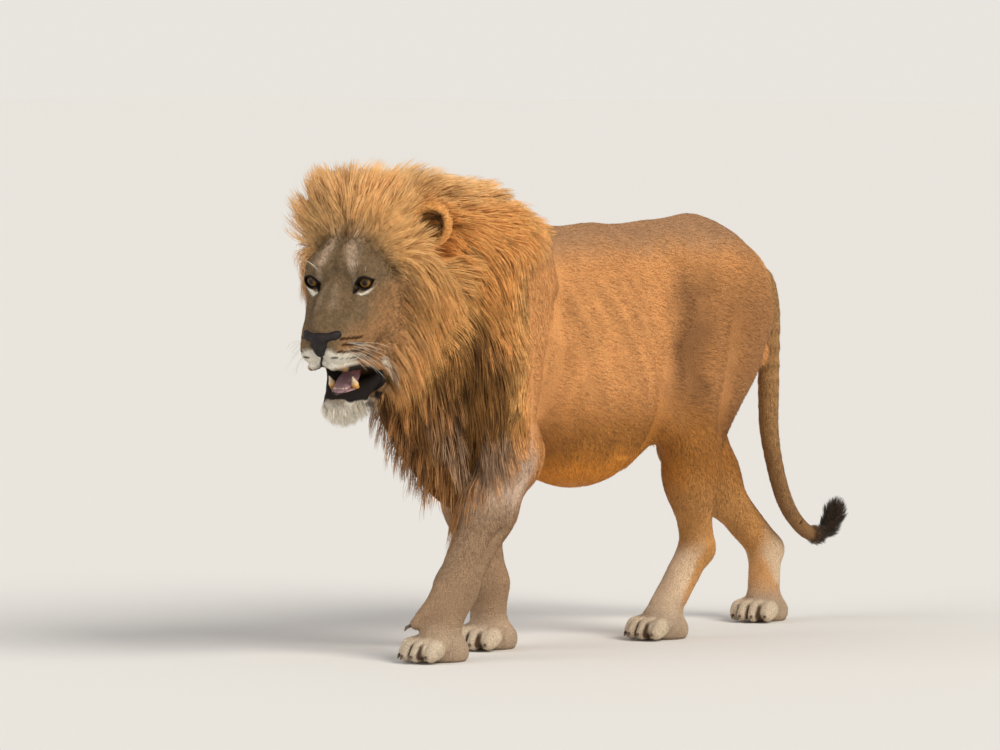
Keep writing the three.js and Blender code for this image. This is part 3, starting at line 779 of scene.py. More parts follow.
def body_paint(p):
    x, y, z = p.T
    side = np.abs(x)
    wave = 0.5 * noise(p, 90, 1) + 0.5 * noise(p, 35, 2)
    colour = mix(TAN, BACK, ease(930, 1030, z + 24 * wave))
    # painted shade: the lower flank darker towards the belly
    colour = mix(colour, FLANK_SHADE_AND_LIT_RIM, 0.8 * ease(660, 520, z + 26 * wave) * ease(-300, -200, y))
    # painted bounce light: the belly's underside in bright warm orange
    colour = mix(colour, BOUNCE_LIT_BELLY, ease(520, 420, z + 20 * wave) * ease(-225, -170, y) * ease(260, 120, y))
    # painted shade: dark stripes between the ribs
    rib_shade = ease(0.15, 0.6, np.sin((y + 0.45 * z) / 24 + 1.5 * wave)) * ease(260, 120, np.abs(y + 60))
    colour = mix(colour, THIGH_SHADE, 0.10 * rib_shade * ease(560, 640, z) * ease(940, 880, z))
    # painted shade: a dark band down the front of the thigh, where the flank meets it
    front = ease(130, 20, np.abs(y - 290 - 0.12 * (z - 750) + 40 * wave)) * ease(60, 130, side)
    colour = mix(colour, THIGH_SHADE, 0.72 * front * ease(500, 640, z) * ease(1000, 860, z + 30 * wave))
    # painted shade: the haunch darker
    rump = ease(300, 440, y + 40 * wave) * ease(1000, 840, z) * ease(420, 520, z)
    colour = mix(colour, THIGH_SHADE, 0.5 * rump)
    # painted sunlight: a gold rim along the rear edge of the haunches
    colour = mix(colour, GOLD, 0.45 * ease(560, 690, y + 0.1 * (z - 700) + 20 * wave) * ease(450, 560, z))
    fore = ease(-190, -250, y) * ease(590, 480, z + 20 * wave) * ease(60, 90, side)
    fore = fore * np.maximum(ease(-325, -385, y + 20 * wave), ease(380, 300, z))
    colour = mix(colour, mix(SHIN, SHIN_UPPER, ease(300, 420, z)), 0.95 * fore)
    leg = ease(430, 300, z + 30 * wave)
    warm = mix(SHIN_WARM, HOCK_WARM, ease(110, 200, z))
    shin = mix(SHIN, warm, 0.85 * ease(150, 230, y) * ease(40, 90, z))
    near_front, far_out = (x > 0) & (y > 100), (x < 0) & (y > 500)
    fur = near_front * ease(8, -16, y - 196 - 0.7 * z + 12 * wave) + far_out * ease(780, 815, y + 12 * wave)
    shin = mix(shin, SHIN_PALE, 0.7 * fur * ease(270, 170, z + 30 * wave))
    colour = mix(colour, shin, leg)
    # painted sunlight: the sunlit patch behind the left elbow, and the paler edge of that foreleg, a painted
    # lit rim
    elbow, wrist = FORE["left"]["elbow"], FORE["left"]["wrist"]
    t = np.clip((elbow[2] - z) / (elbow[2] - wrist[2]), 0, 1)
    behind = y - (elbow[1] + (wrist[1] - elbow[1]) * t)
    rim = ease(22, 52, behind + 8 * wave) * ease(60, 120, z) * ease(600, 520, z) * (x > 0)
    rim = rim * (y < wrist[1] + 130 + 0.4 * np.maximum(z - 200, 0))
    colour = mix(colour, FLANK_SHADE_AND_LIT_RIM, 0.55 * rim * ease(-160, -230, y))
    patch = np.sqrt(((p - np.array((150, -292, 478))) ** 2 / np.array((70, 48, 82)) ** 2).sum(1))
    colour = mix(colour, SUNLIT_PEACH, 0.95 * ease(1.2, 0.7, patch + 0.3 * wave))
    colour = mix(colour, CREAM, 0.85 * ease(120, 40, z + 8 * wave))
    for joints, size in PAWS:
        (px, py), a = joints["paw"], math.radians(joints["toes"])
        u = ((x - px) * math.cos(a) + (y - py) * math.sin(a)) / size
        v = ((y - py) * math.cos(a) - (x - px) * math.sin(a)) / size
        here = ease(-22, -38, v) * (v > -95) * (np.abs(u) < 66) * ease(58, 40, z)
        gap = np.minimum.reduce([np.abs(u - g) for g in (-31, 0, 31)])
        toe = ease(-16, -34, v) * (v > -95) * (np.abs(u) < 72) * ease(66, 50, z)
        colour = mix(colour, TOE_CREAM, 0.7 * toe)
        # painted shade in the clefts between the toes
        colour = mix(colour, BROWN, 0.95 * here * ease(5.5, 2, gap + 1.2 * wave))
        colour = mix(colour, FACE_DARK, 0.5 * ease(9, 3, z) * (np.abs(u) < 70) * (v > -95) * (v < 90))
    return colour


FACE_LINES = [  # tint, amount, softness and course of the face's markings, each over those before it
    (FACE_DARK, 0.55, 7.0, [(0, 78, 96, 9), (0, 10, 66, 7), (0, -22, 36, 4)]),
    (FACE_DARK, 0.35, 7.0, [(52, 14, 60, 5), (62, -6, 34, 5)]),
    (CREAM, 0.45, 14, [(26, 60, 92, 14), (34, 10, 66, 18), (44, -16, 48, 12)]),
    (CREAM, 0.7, 7.0, [(25, 30, 76, 6), (33, -2, 60, 9), (40, -18, 46, 8), (44, -30, 12, 6)]),
    (CREAM, 0.3, 10, [(14, -60, 12, 8), (18, -104, -20, 9)]),
    (FACE_DARK, 0.5, 10, [(38, -46, -28, 7), (42, -78, -44, 8), (30, -120, -52, 5)]),
    (FACE_DARK, 0.45, 10, [(58, -38, -42, 8), (84, -16, -44, 8), (102, 10, -30, 6)]),
    (CREAM, 0.6, 7.0, [(30, -160, -104, 9), (54, -138, -112, 9), (68, -104, -126, 5)]),
    (WHITE, 1, 7.0, [(0, -172, -124, 10), (26, -168, -124, 24), (46, -148, -130, 20), (62, -110, -152, 11)]),
]
WHISKER_ROWS = [  # first and last spot, and how many
    ((50, -141, -83), (76, -100, -97), 5), ((54, -146, -95), (77, -97, -114), 7),
    ((46, -160, -106), (75, -99, -131), 7), ((36, -168, -118), (66, -102, -147), 6),
]


def head_paint(p):
    q = to_head(p)
    x, y, z = q.T
    side = np.abs(x)
    half = columns(side, y, z)
    wave = noise(p, 14, 5)

    def spot(centre, radii, edge=0.35):
        away = np.sqrt((((half - np.array(centre)) / np.array(radii)) ** 2).sum(1))
        return ease(1 + edge, 1 - edge, away + 0.12 * wave)

    def line(course, soft=7.0):
        return ease(soft, -soft, chain(1, course)(half) + 3.5 * wave)

    colour = mix(FACE, FACE_WARM, 0.75 * ease(-45, -110, z + 8 * wave) * ease(30, 60, side))
    colour = mix(colour, FACE_WARM, 0.7 * ease(72, 100, side + 6 * wave) * ease(10, -40, z))
    colour = mix(colour, FACE_WARM, ease(20, 70, y) * ease(-40, -90, z))
    colour = mix(colour, CHEEK, 0.8 * ease(-10, 50, y) * ease(-110, -170, z))
    for tint, amount, soft, course in FACE_LINES:
        colour = mix(colour, tint, amount * line(course, soft))
    colour = mix(colour, WHITE, spot((0, -112, -280), (62, 76, 44)))
    colour = mix(colour, WHITE, 0.75 * line([(78, -16, -196, 7), (80, -8, -232, 9)]))
    for first, last, count in WHISKER_ROWS:
        for i in range(count):
            centre = between(first, last, i / (count - 1))
            colour = mix(colour, BROWN, 0.95 * spot(centre, (10, 8.5, 2.9), 0.3))
    under_eye = [(50, -36, -19, 3), (62, -36, -20, 5), (78, -27, -15, 5), (90, -10, -4, 2.5)]
    colour = mix(colour, WHITE, line(under_eye, 2.5))
    for _, s in SIDES:
        ex, _, ez = to_eye(q, s)
        here = (x * s > 0) & (y < 40)
        along = np.clip(np.abs(ex + 1.5) / (OPENING[0] + 6), 0, 1.3)
        rim = np.abs(ez - 1.0) - (OPENING[1] + 3.6) * (1 - along ** 2)
        colour = mix(colour, BLACK, here * ease(1.6, -0.6, rim) * ease(32, 28, np.abs(ex)))
    tear = bone((50, -32, -5), (37, -42, -25), 7.5, 3.0)(half)
    colour = mix(colour, BLACK, ease(1.5, -1.5, tear + wave))
    lip = np.full(len(p), 99.0)
    for path, thick in ((LIP_UPPER, 2.2), (LIP_LOWER, 8.0)):
        for a, b in zip(path, path[1:]):
            lip = np.minimum(lip, bone(a, b, thick, thick)(half))
    lip = np.minimum(lip, chain(2, LIP_FLAP)(half))
    colour = mix(colour, BLACK, ease(2.0, -1.0, lip + 1.5 * wave))
    # painted shade: the mouth's depths go black at the roof's sides, low down and at the back
    inside = ease(7, 0, mouth(q)) * ease(66, 60, side) * ease(-150, -135, y)
    shaded_roof = mix(GUM, BLACK, ease(26, 36, side))
    shaded_cavity = mix(shaded_roof, BLACK, np.maximum(ease(-205, -222, z), ease(-60, -20, y)))
    colour = mix(colour, shaded_cavity, inside)
    groove = ease(4.5, 1.5, side) * ease(-150, -156, y)
    groove = groove * ease(-104, -110, z) * ease(-168, -150, z)
    return mix(colour, BLACK, groove)


def mane_paint(p):
    q = to_head(p)
    y, z = p[:, 1], p[:, 2]
    behind = face_border(q)
    wave = 0.6 * noise(p, 70, 6) + 0.4 * noise(p, 25, 7)
    colour = mix(GOLD, BLOND, ease(1060, 1160, z + 30 * wave))
    colour = mix(colour, RUSSET, 0.55 * ease(930, 790, z + 60 * wave - 0.25 * (y + 450)))
    streak = 0.5 * noise(p * np.array((1, 1, 0.25)), 16, 17)
    low = ease(860, 700, z + 60 * wave + 0.25 * (y + 500)) * ease(-400, -460, y + 30 * wave)
    colour = mix(colour, BROWN, low * np.clip(0.88 - 0.75 * ease(-600, -690, y) + 1.1 * streak, 0, 0.97))
    under = ease(55, 95, behind) * ease(950, 880, z) * ease(-440, -520, y)
    colour = mix(colour, BROWN, under * np.clip(0.62 + 1.2 * streak, 0, 0.92))
    border = ease(110, 20, mane_end(p) + 25 * wave) * ease(560, 660, z)
    colour = mix(colour, SUNLIT, 0.9 * border)
    colour = mix(colour, RUSSET, 0.5 * ease(520, 430, z + 30 * wave))
    ruff = ease(125, 60, behind + 25 * wave) * ease(-330, -230, q[:, 2])
    return mix(colour, mix(SUNLIT, BLOND, ease(-90, 60, q[:, 2])), 0.9 * ruff)


def ear_paint(p):
    q = to_head(p)
    side = columns(np.abs(q[:, 0]), q[:, 1], q[:, 2])
    cup = egg(ear_at(1, 6, -24, 0), (33, 32, 46), (8, 18, 28))(side)
    colour = mix(GOLD, EAR_DARK, ease(6, -2, cup + 4 * noise(p, 9, 44)))
    back = ease(EAR[1] + 8, EAR[1] + 22, side[:, 1]) * ease(-10, 20, side[:, 2])
    return mix(colour, BROWN, 0.8 * back)


def part_values(p):
    return columns(*(field(p) for field in PARTS.values()))


def paint(p, values):
    """The colour of skin and coat at a place, from the parts it lies on."""
    d = values - values.min(1, keepdims=True)
    weight = np.exp(-d / 6.0)
    weight /= weight.sum(1, keepdims=True)
    w = {name: weight[:, i] for name, i in NUMBER.items()}
    flesh = sum(w[name] for name in ("trunk", *LEGS, "mane"))
    wave = noise(p, 18, 9)
    hair = mane_paint(p)
    cover = ease(-6, 14, mane_end(p) + 8 * wave) * ease(4, -8, envelope(p))
    colour = mix(body_paint(p), hair, cover) * flesh[:, None]
    behind = ease(-34, 26, face_border(to_head(p)) + 10 * wave)
    colour += mix(head_paint(p), hair, behind) * w["head"][:, None]
    tail = mix(TAIL_TAN, TAIL_UPPER, ease(380, 560, p[:, 2]))
    tail = mix(tail, TUFT_BLACK, ease(895, 935, p[:, 1]))
    colour += tail * w["tail"][:, None] + np.array(TUFT_BLACK) * w["tuft"][:, None]
    colour += np.array(TAN) * w["scrotum"][:, None] + ear_paint(p) * w["ears"][:, None]
    return np.clip(colour, 0.001, 1)


# ---- how the coat lies ----
def mane_run(p, q):
    """The long hair: up and back over the brow, down the cheeks, back along the neck, down over the chest."""
    s, ones = np.sign(p[:, 0]), np.ones(len(p))
    x, z = q[:, 0], q[:, 2]
    crest = unit(columns(x / 130, 0.38 * ones, 0.95 * ones))
    beside = unit(columns(0.55 * np.sign(x), 0.75 * ones, 0.1 * ones))
    cheek = unit(columns(0.45 * np.sign(x), 0.38 * ones, -1.0 * ones))
    up = ease(55, 115, z)[:, None]
    down = ease(45, -25, z)[:, None]
    ruff = (crest * up + beside * (1 - up) * (1 - down) + cheek * down) @ HEAD_AXES.T
    height = ease(1090, 950, p[:, 2])[:, None]
    low = ease(900, 760, p[:, 2])[:, None]
    nape = unit(columns(0.25 * s, 0.95 * ones, -0.25 * ones))
    neck = unit(columns(0.1 * s, 0.55 * ones, -0.8 * ones))
    chest = unit(columns(-0.05 * s, 0.10 * ones, -1.0 * ones))
    rear = nape * (1 - height) + neck * height * (1 - low) + chest * low
    edge = (ease(150, 40, mane_end(p)) * ease(1030, 980, p[:, 2]))[:, None]
    rear = rear * (1 - edge) + chest * edge
    far = ease(210, 340, distance(q, (0, 60, -10)))[:, None]
    return unit(ruff * (1 - far) + unit(rear) * far)


def lie(p, values):
    """The way the hair runs at a place, before it is laid along the surface."""
    q = to_head(p)
    nearest = values.argmin(1)
    down = ease(620, 430, p[:, 2])
    run = columns(np.zeros(len(p)), 1 - 0.75 * down, -0.28 - 1.2 * down)
    head_dir = unit(q - np.array((0, -175, -95))) * np.array((1, 1, 1.15))
    chin = ease(-215, -250, q[:, 2])
    head_dir = head_dir * (1 - chin)[:, None] + np.array((0, 0.35, -1.0)) * chin[:, None]
    head_run = head_dir @ HEAD_AXES.T
    mane = mane_run(p, q)
    is_head = nearest == NUMBER["head"]
    behind = ease(-25, 25, face_border(q))[:, None]
    run[is_head] = (unit(head_run) * (1 - behind) + unit(mane) * behind)[is_head]
    is_mane = np.isin(nearest, (NUMBER["mane"], NUMBER["ears"]))
    is_mane |= ~is_head & (envelope(p) < 2) & (mane_end(p) > -10)
    run[is_mane] = mane[is_mane]
    tail_like = np.isin(nearest, (NUMBER["tail"], NUMBER["tuft"]))
    path = np.array([t[:3] for t in TAIL] + [t[:3] for t in TUFT[1:]], float)
    middle, step = (path[1:] + path[:-1]) / 2, np.diff(path, axis=0)
    if tail_like.any():
        closest = ((p[tail_like][:, None] - middle) ** 2).sum(2).argmin(1)
        run[tail_like] = step[closest]
    return unit(run)


def laid(run, n):
    return unit(run - (run * n).sum(1)[:, None] * n)


# ---- meshes ----
def to_world(p):
    return (p + SHIFT) * MM


def make_object(name, points, tris, material, tint=None, uv=None, replaces=()):
    """A piece from points in millimetres and triangles. Tint is a colour for each point, and uv a place for
    each point or corner."""
    mesh = bpy.data.meshes.new(name)
    mesh.vertices.add(len(points))
    mesh.vertices.foreach_set("co", to_world(points).astype(np.float32).ravel())
    mesh.loops.add(3 * len(tris))
    mesh.loops.foreach_set("vertex_index", tris.astype(np.int32).ravel())
    mesh.polygons.add(len(tris))
    mesh.polygons.foreach_set("loop_start", np.arange(0, 3 * len(tris), 3, dtype=np.int32))
    mesh.polygons.foreach_set("use_smooth", np.ones(len(tris), bool))
    mesh.update(calc_edges=True)
    if tint is not None:
        colours = np.ones((len(points), 4), np.float32)
        colours[:, :3] = tint
        mesh.color_attributes.new("Tint", "FLOAT_COLOR", "POINT").data.foreach_set("color", colours.ravel())
    if uv is not None:
        corners = uv if len(uv) == 3 * len(tris) else uv[tris.ravel()]
        mesh.uv_layers.new(name="OFBake").data.foreach_set("uv", corners.astype(np.float32).ravel())
    mesh.materials.append(material)
    piece = bpy.data.objects.new(name, mesh)
    bpy.context.scene.collection.objects.link(piece)
    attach(piece, BODY)
    if replaces:
        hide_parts(*replaces)
    return piece


# ---- the unwrap: each part laid flat from the six sides it faces ----
class Unwrap:
    """Charts of the skin's parts, each seen square on from one of six sides, in rows on the unit square."""

    PLANE = [(1, 2), (0, 2), (0, 1)]

    def __init__(self, points, part, side):
        self.chart_of = {}
        boxes = []
        for key in sorted(set(zip(part.tolist(), side.tolist()))):
            here = points[(part == key[0]) & (side == key[1])][:, list(self.PLANE[key[1] // 2])]
            boxes.append((key, here.min(0) - 4, np.ptp(here, axis=0) + 8))
        boxes.sort(key=lambda b: -b[2][1])
        scale = 1 / math.sqrt(sum(b[2].prod() for b in boxes))
        while not self.set_out(boxes, scale):
            scale *= 0.97

    def set_out(self, boxes, scale):
        u = v = row = 0.0
        for key, low, size in boxes:
            w, h = size * scale
            if u + w > 1:
                u, v, row = 0.0, v + row + 0.004, 0.0
            if v + h > 1 or w > 1:
                return False
            self.chart_of[key] = (low, scale, np.array((u, v)))
            u, row = u + w + 0.004, max(row, h)
        return True

    @staticmethod
    def side(normals):
        axis = np.abs(normals).argmax(1)
        return 2 * axis + (normals[np.arange(len(axis)), axis] > 0)

    def place(self, points, part, side):
        """Where the points lie in the charts of their part and side."""
        uv = np.zeros((len(points), 2))
        for key, (low, scale, corner) in self.chart_of.items():
            here = (part == key[0]) & (side == key[1])
            if here.any():
                uv[here] = (points[here][:, list(self.PLANE[key[1] // 2])] - low) * scale + corner
        return np.clip(uv, 0, 1)


# ---- materials ----
def new_material(name, roughness, specular=0.3, sheen=0.0, coat=0.0):
    material = bpy.data.materials.new(name)
    material.use_nodes = True
    shader = material.node_tree.nodes["Principled BSDF"]
    shader.inputs["Roughness"].default_value = roughness
    shader.inputs["Specular IOR Level"].default_value = specular
    shader.inputs["Sheen Weight"].default_value = sheen
    shader.inputs["Sheen Tint"].default_value = HAIR_GLOW
    shader.inputs["Coat Weight"].default_value = coat
    shader.inputs["Coat Roughness"].default_value = 0.05
    return material, material.node_tree, shader


def node(tree, kind, **inputs):
    made = tree.nodes.new("ShaderNode" + kind)
    for name, value in inputs.items():
        socket = made.inputs[name.replace("_", " ")]
        if isinstance(value, bpy.types.NodeSocket):
            tree.links.new(value, socket)
        else:
            socket.default_value = value
    return made


def speckle(tree, scale, low, high, detail=3.0):
    """Noise in the object's own coordinates, as a number from low to high."""
    place = node(tree, "TexCoord").outputs["Object"]
    grain = node(tree, "TexNoise", Vector=place, Scale=scale, Detail=detail)
    span = node(tree, "MapRange", Value=grain.outputs["Fac"])
    span.inputs["From Min"].default_value, span.inputs["From Max"].default_value = 0.3, 0.7
    span.inputs["To Min"].default_value, span.inputs["To Max"].default_value = low, high
    return span.outputs["Result"]


def tinted(tree, shader, *factors):
    """The piece's own tint, made lighter and darker by the factors."""
    colour = tree.nodes.new("ShaderNodeVertexColor")
    colour.layer_name = "Tint"
    result = colour.outputs["Color"]
    for factor in factors:
        scaled = tree.nodes.new("ShaderNodeVectorMath")
        scaled.operation = "SCALE"
        tree.links.new(result, scaled.inputs[0])
        tree.links.new(factor, scaled.inputs["Scale"])
        result = scaled.outputs["Vector"]
    tree.links.new(result, shader.inputs["Base Color"])


def finish(name, surface, *grains, relief=None):
    """A material of that roughness, specular, sheen and coat. Grains break up its tint, relief bumps it."""
    material, tree, shader = new_material(name, *surface)
    tinted(tree, shader, *(speckle(tree, *grain) for grain in grains))
    if relief:
        grain, depth = relief
        made = node(tree, "Bump", Height=speckle(tree, *grain), Distance=depth, Strength=1.0)
        tree.links.new(made.outputs["Normal"], shader.inputs["Normal"])
    return material


def coat_material(name, roughness=0.6, sheen=0.1):
    return finish(name, (roughness, 0.25, sheen), (90, 0.82, 1.18), (9, 0.9, 1.1, 2))


# ---- build the skin ----
low, high = np.array(cad_box[0]) / MM - SHIFT, np.array(cad_box[1]) / MM - SHIFT
points, tris = nets(skin_field, low, high, SKIN_CELL)
points = settle(skin_field, points, 2, 3)
for _ in range(REFINEMENTS):
    points, tris, added = refine(points, tris, edge_target)
    if not added:
        break
    points[-added:] = settle(skin_field, points[-added:], 2, 2)
points[:, 2] = np.maximum(points[:, 2], 0)
normals = vertex_normals(points, tris)
values = part_values(points)
part = values.argmin(1)
tint = paint(points, values)

corners = points[tris]
centre = corners.mean(1)
facing = unit(np.cross(corners[:, 1] - corners[:, 0], corners[:, 2] - corners[:, 0]))
face_part, face_side = part[tris[:, 0]], Unwrap.side(facing)
each_corner = corners.reshape(-1, 3), np.repeat(face_part, 3), np.repeat(face_side, 3)
unwrap = Unwrap(*each_corner)
short_coat = finish("short_coat", (0.7, 0.15, 0.02), (300, 0.72, 1.22), (12, 0.9, 1.1, 2),
                    relief=((420, 0.0, 1.0, 4), 0.002))
FLESH = ["head", "jaw", "ear_left", "ear_right", "chest", "belly", "rump", "scrotum", "tail_root",
         "tail_middle", "tail_end", "tail_tuft", "mane_crown", "mane_neck", "mane_chest"]
FLESH += [a + "_" + b for a in ("foreleg", "hindleg", "fore_paw", "hind_paw") for b in ("left", "right")]
make_object("skin", points, tris, short_coat, tint, unwrap.place(*each_corner), FLESH)

# what the coat is placed by, at the middle of each triangle
centre_head = to_head(centre)
centre_values = part_values(centre)
nearest = centre_values.argmin(1)
centre_tint = paint(centre, centre_values)
long_haired = hairy(centre, centre_values)


# ---- eyes, nose and mouth ----
def from_eye(local, s):
    """From an eye's own frame to the forms' frame."""
    c, k, t = math.cos(math.radians(EYE_TURN)), math.sin(math.radians(EYE_TURN)), math.radians(EYE_TILT)
    x, y, z = local.T
    x, z = x * math.cos(t) - z * math.sin(t), x * math.sin(t) + z * math.cos(t)
    x, y = x * c - y * k, y * c + x * k
    return from_head(columns(x * s + s * EYE[0], y + EYE[1], z + EYE[2]))


def eyeball(side, s):
    """A ball whose pupil, iris and dark rim are painted about the way it looks."""
    rows, cols = 90, 120
    polar = np.concatenate([[0], np.pi * np.arange(1, rows) / rows, [np.pi]])
    a = np.concatenate([[0], np.repeat(polar[1:-1], cols), [np.pi]])
    b = np.concatenate([[0], np.tile(2 * np.pi * np.arange(cols) / cols, rows - 1), [0]])
    r = 0.965 * EYE_RADIUS * (1 + 0.035 * ease(0.75, 0.2, a))
    local = columns(r * np.sin(a) * np.cos(b), -r * np.cos(a), r * np.sin(a) * np.sin(b))
    k = np.arange(cols)
    nxt = (k + 1) % cols
    tris = [columns(0 * k, 1 + nxt, 1 + k)]
    for j in range(rows - 2):
        u, v = 1 + j * cols, 1 + (j + 1) * cols
        tris += [columns(u + k, u + nxt, v + nxt), columns(u + k, v + nxt, v + k)]
    end = 1 + (rows - 1) * cols
    tris.append(columns(end + 0 * k, end - cols + k, end - cols + nxt))
    fibres = noise(columns(60 * np.cos(b), 60 * np.sin(b), 8 * a), 3.0, 41)
    colour = mix(IRIS, IRIS_PALE, ease(0.35, 0.7, a))
    colour = colour * (1 + 0.35 * fibres)[:, None]
    colour = mix(colour, IRIS_RIM, ease(0.72, 0.84, a + 0.02 * fibres))
    colour = mix(colour, SCLERA, ease(0.88, 1.0, a))
    # painted shade of the upper lid: the top of the eye darker
    colour = colour * (1 - 0.75 * ease(0, 8, local[:, 2]))[:, None]
    colour = mix(colour, PUPIL, ease(0.36, 0.30, a))
    tris = np.concatenate(tris)
    if s > 0:
        tris = tris[:, ::-1]
    material = finish("eye_" + side, (0.3, 0.25, 0, 0.15), (500, 0.92, 1.08))
    uv = columns(b / (2 * np.pi), a / np.pi)
    make_object("eyeball_" + side, from_eye(local, s), tris, material, colour, uv, ["eye_" + side])


def form(name, field, low, high, cell, colour, material, replaces=()):
    """A small piece drawn from a field of the head, coloured by a function of the head's own places."""
    box = from_head(np.array(list(itertools.product(*zip(low, high)))))
    world = in_head(field)
    p, t = nets(world, box.min(0), box.max(0), cell)
    p = settle(world, p, 3, 1.5)
    q = to_head(p)
    flat = (q - q.min(0)) / np.ptp(q, axis=0)
    make_object(name, p, t, material, colour(q), flat[:, [0, 2]] * 0.98 + 0.01, replaces)


def build_face():
    for side, s in SIDES:
        eyeball(side, s)
    wet = finish("nose_skin", (0.45, 0.3), (260, 0.75, 1.3), relief=((330, 0, 1, 2), 0.0012))
    pad = carve(
        3,
        blend(7,
              *bones((40, -139, -73), (8, -156, -79), 8.5, 14),
              *bones((33, -146, -79), (0, -162, -101), 11, 13),
              bone((0, -156, -79), (0, -164, -110), 15, 8)),
        *bones((15, -178, -92), (25, -166, -84), 4.5, 5.5),
        *bones((25, -166, -84), (47, -148, -85), 5.5, 3),
        bone((0, -179, -86), (0, -174, -116), 2.6, 2.6),
    )
    form("nose_pad", pad, (-60, -190, -130), (60, -115, -50), 2.2,
         lambda q: mix(NOSE, BLACK, ease(-78, -92, q[:, 2])), wet, ["nose"])

    flesh = finish("tongue_flesh", (0.35, 0.45, 0, 0.3), (240, 0.8, 1.2), relief=((420, 0, 1, 2), 0.0016))
    blade = egg((0, -64, -222), (25, 57, 13), (10, 0, 0))
    blade = carve(5, blade, bone((0, -130, -214), (0, -20, -196), 2.5, 6))
    form("tongue_blade", blade, (-34, -130, -250), (34, 4, -196), 2.6,
         lambda q: mix(TONGUE, GUM, ease(-80, -30, q[:, 1])), flesh, ["tongue"])
    ridge = chain(4, [(-25, -92, -236, 7), (-14, -106, -234, 7), (14, -106, -234, 7), (25, -92, -236, 7)])
    form("gum", ridge, (-40, -120, -250), (40, -80, -222), 2.6,
         lambda q: mix(TONGUE, GUM, np.full(len(q), 0.4)), flesh)

    ivory = finish("tooth_ivory", (0.3, 0.5, 0, 0.4), (90, 0.85, 1.12))
    for side, s in SIDES:
        fang = chain(3, [(s * 28, -82, -240, 9), (s * 29, -86, -222, 8), (s * 30, -92, -201, 1.5)])
        form("fang_" + side, fang, (s * 28 - 14, -104, -254), (s * 28 + 14, -70, -194), 1.6,
             lambda q: mix(TOOTH_OLD, TOOTH, ease(-228, -206, q[:, 2])), ivory, ["canine_" + side])
    row = blend(0.8, *(bone((x, -107 + 0.02 * x * x, -234), (1.05 * x, -110 + 0.02 * x * x, -224), 3.0, 2.2)
                       for x in (-14, -8.6, -3, 3, 8.6, 14)))
    form("incisors", row, (-20, -116, -240), (20, -96, -218), 1.2,
         lambda q: mix(TOOTH_OLD, TOOTH, ease(-232, -226, q[:, 2])), ivory)


def build_claws():
    """Curved claws, drawn in so that only their ends show in the toes' fur, and the left wrist's dewclaw."""
    horn = finish("claw_horn", (0.35, 0.4), (120, 0.7, 1.3))
    curves = []
    for joints, size in PAWS:
        at = paw_place(joints, size)
        for u, _, tip in TOES:
            v = tip - 15.5
            curves.append([at(u * 1.05, v + 9, 21), at(u * 1.06, v - 1, 17), at(u * 1.06, v - 6, 8)])
    curves.append([(32, -622, 92), (22, -636, 84), (17, -640, 74)])
    verts, faces, tips, count = [], [], [], 0
    for a, b, c in curves:
        horned = blend(1.5, bone(a, b, 4.6, 3.8), bone(b, c, 3.8, 1.0))
        p, t = nets(horned, np.min((a, b, c), axis=0) - 9, np.max((a, b, c), axis=0) + 9, 2.0)
        p = settle(horned, p, 2, 1.5)
        faces.append(t + count)
        verts.append(p)
        tips.append(ease(a[2], c[2], p[:, 2]))
        count += len(p)
    p, t, tip = np.concatenate(verts), np.concatenate(faces), np.concatenate(tips)
    flat = (p - p.min(0)) / np.ptp(p, axis=0)
    p[:, 2] = np.maximum(p[:, 2], 0.3)
    make_object("claws", p, t, horn, mix(CLAW, CLAW_TIP, tip), flat[:, :2] * 0.98 + 0.01)


build_face()
build_claws()


# ---- the coat ----
def sample(density):
    """Roots spread over the skin, so many to the square metre at each triangle."""
    a, b, c = (points[tris[:, k]] for k in range(3))
    area = np.sqrt((np.cross(b - a, c - a) ** 2).sum(1)) / 2 * MM * MM
    expected = area * density
    total = int(expected.sum())
    edges = np.cumsum(expected)
    picks = np.searchsorted(edges, (np.arange(total) + RNG.random(total)) / total * edges[-1])
    picks = np.minimum(picks, len(tris) - 1)
    u, v = RNG.random((2, total))
    over = u + v > 1
    u[over], v[over] = 1 - u[over], 1 - v[over]
    w = columns(1 - u - v, u, v)[:, :, None]
    corners = tris[picks]
    root = (points[corners] * w).sum(1)
    normal = unit((normals[corners] * w).sum(1))
    return root, normal, unwrap.place(root, face_part[picks], face_side[picks])


def locks(name, path, normal, width, tint_root, tint_tip, uv, material, thick=0.35):
    """Closed three-sided locks along paths of N x K points, thin at the root and pointed at the tip."""
    count, rings = path.shape[0], path.shape[1] - 1
    along = unit(np.gradient(path, axis=1))
    across = unit(np.cross(along, normal))
    up = unit(np.cross(across, along))
    t = np.arange(rings) / rings
    profile = (0.55 + 1.1 * t - 1.25 * t * t)[None, :, None] * width[:, None, None] / 2
    a = path[:, :rings] - across[:, :rings] * profile
    b = path[:, :rings] + across[:, :rings] * profile
    c = path[:, :rings] + up[:, :rings] * profile * 2 * thick
    body = np.stack([a, b, c], 2).reshape(count, rings * 3, 3)
    verts = np.concatenate([body, path[:, -1:]], 1)
    verts[:, :, 2] = np.maximum(verts[:, :, 2], HAIR_FLOOR)
    each = rings * 3 + 1
    faces = []
    for r in range(rings - 1):
        for s in range(3):
            i, j = 3 * r + s, 3 * r + (s + 1) % 3
            faces += [(i, j, j + 3), (i, j + 3, i + 3)]
    last = 3 * (rings - 1)
    faces += [(last + s, last + (s + 1) % 3, each - 1) for s in range(3)]
    faces.append((0, 2, 1))
    faces = (np.array(faces)[None] + each * np.arange(count)[:, None, None]).reshape(-1, 3)
    ramp = np.append(np.repeat(t, 3), 1.0)
    tint = mix(tint_root[:, None], tint_tip[:, None], np.broadcast_to(ramp, (count, each)))
    corner = np.append(np.tile((-1.0, 1.0, 0.0), rings), 0.0)
    patch = uv[:, None] + PATCH * columns(corner, 2 * ramp - 1)[None]
    make_object(name, verts.reshape(-1, 3), faces, material, tint.reshape(-1, 3), patch.reshape(-1, 2))


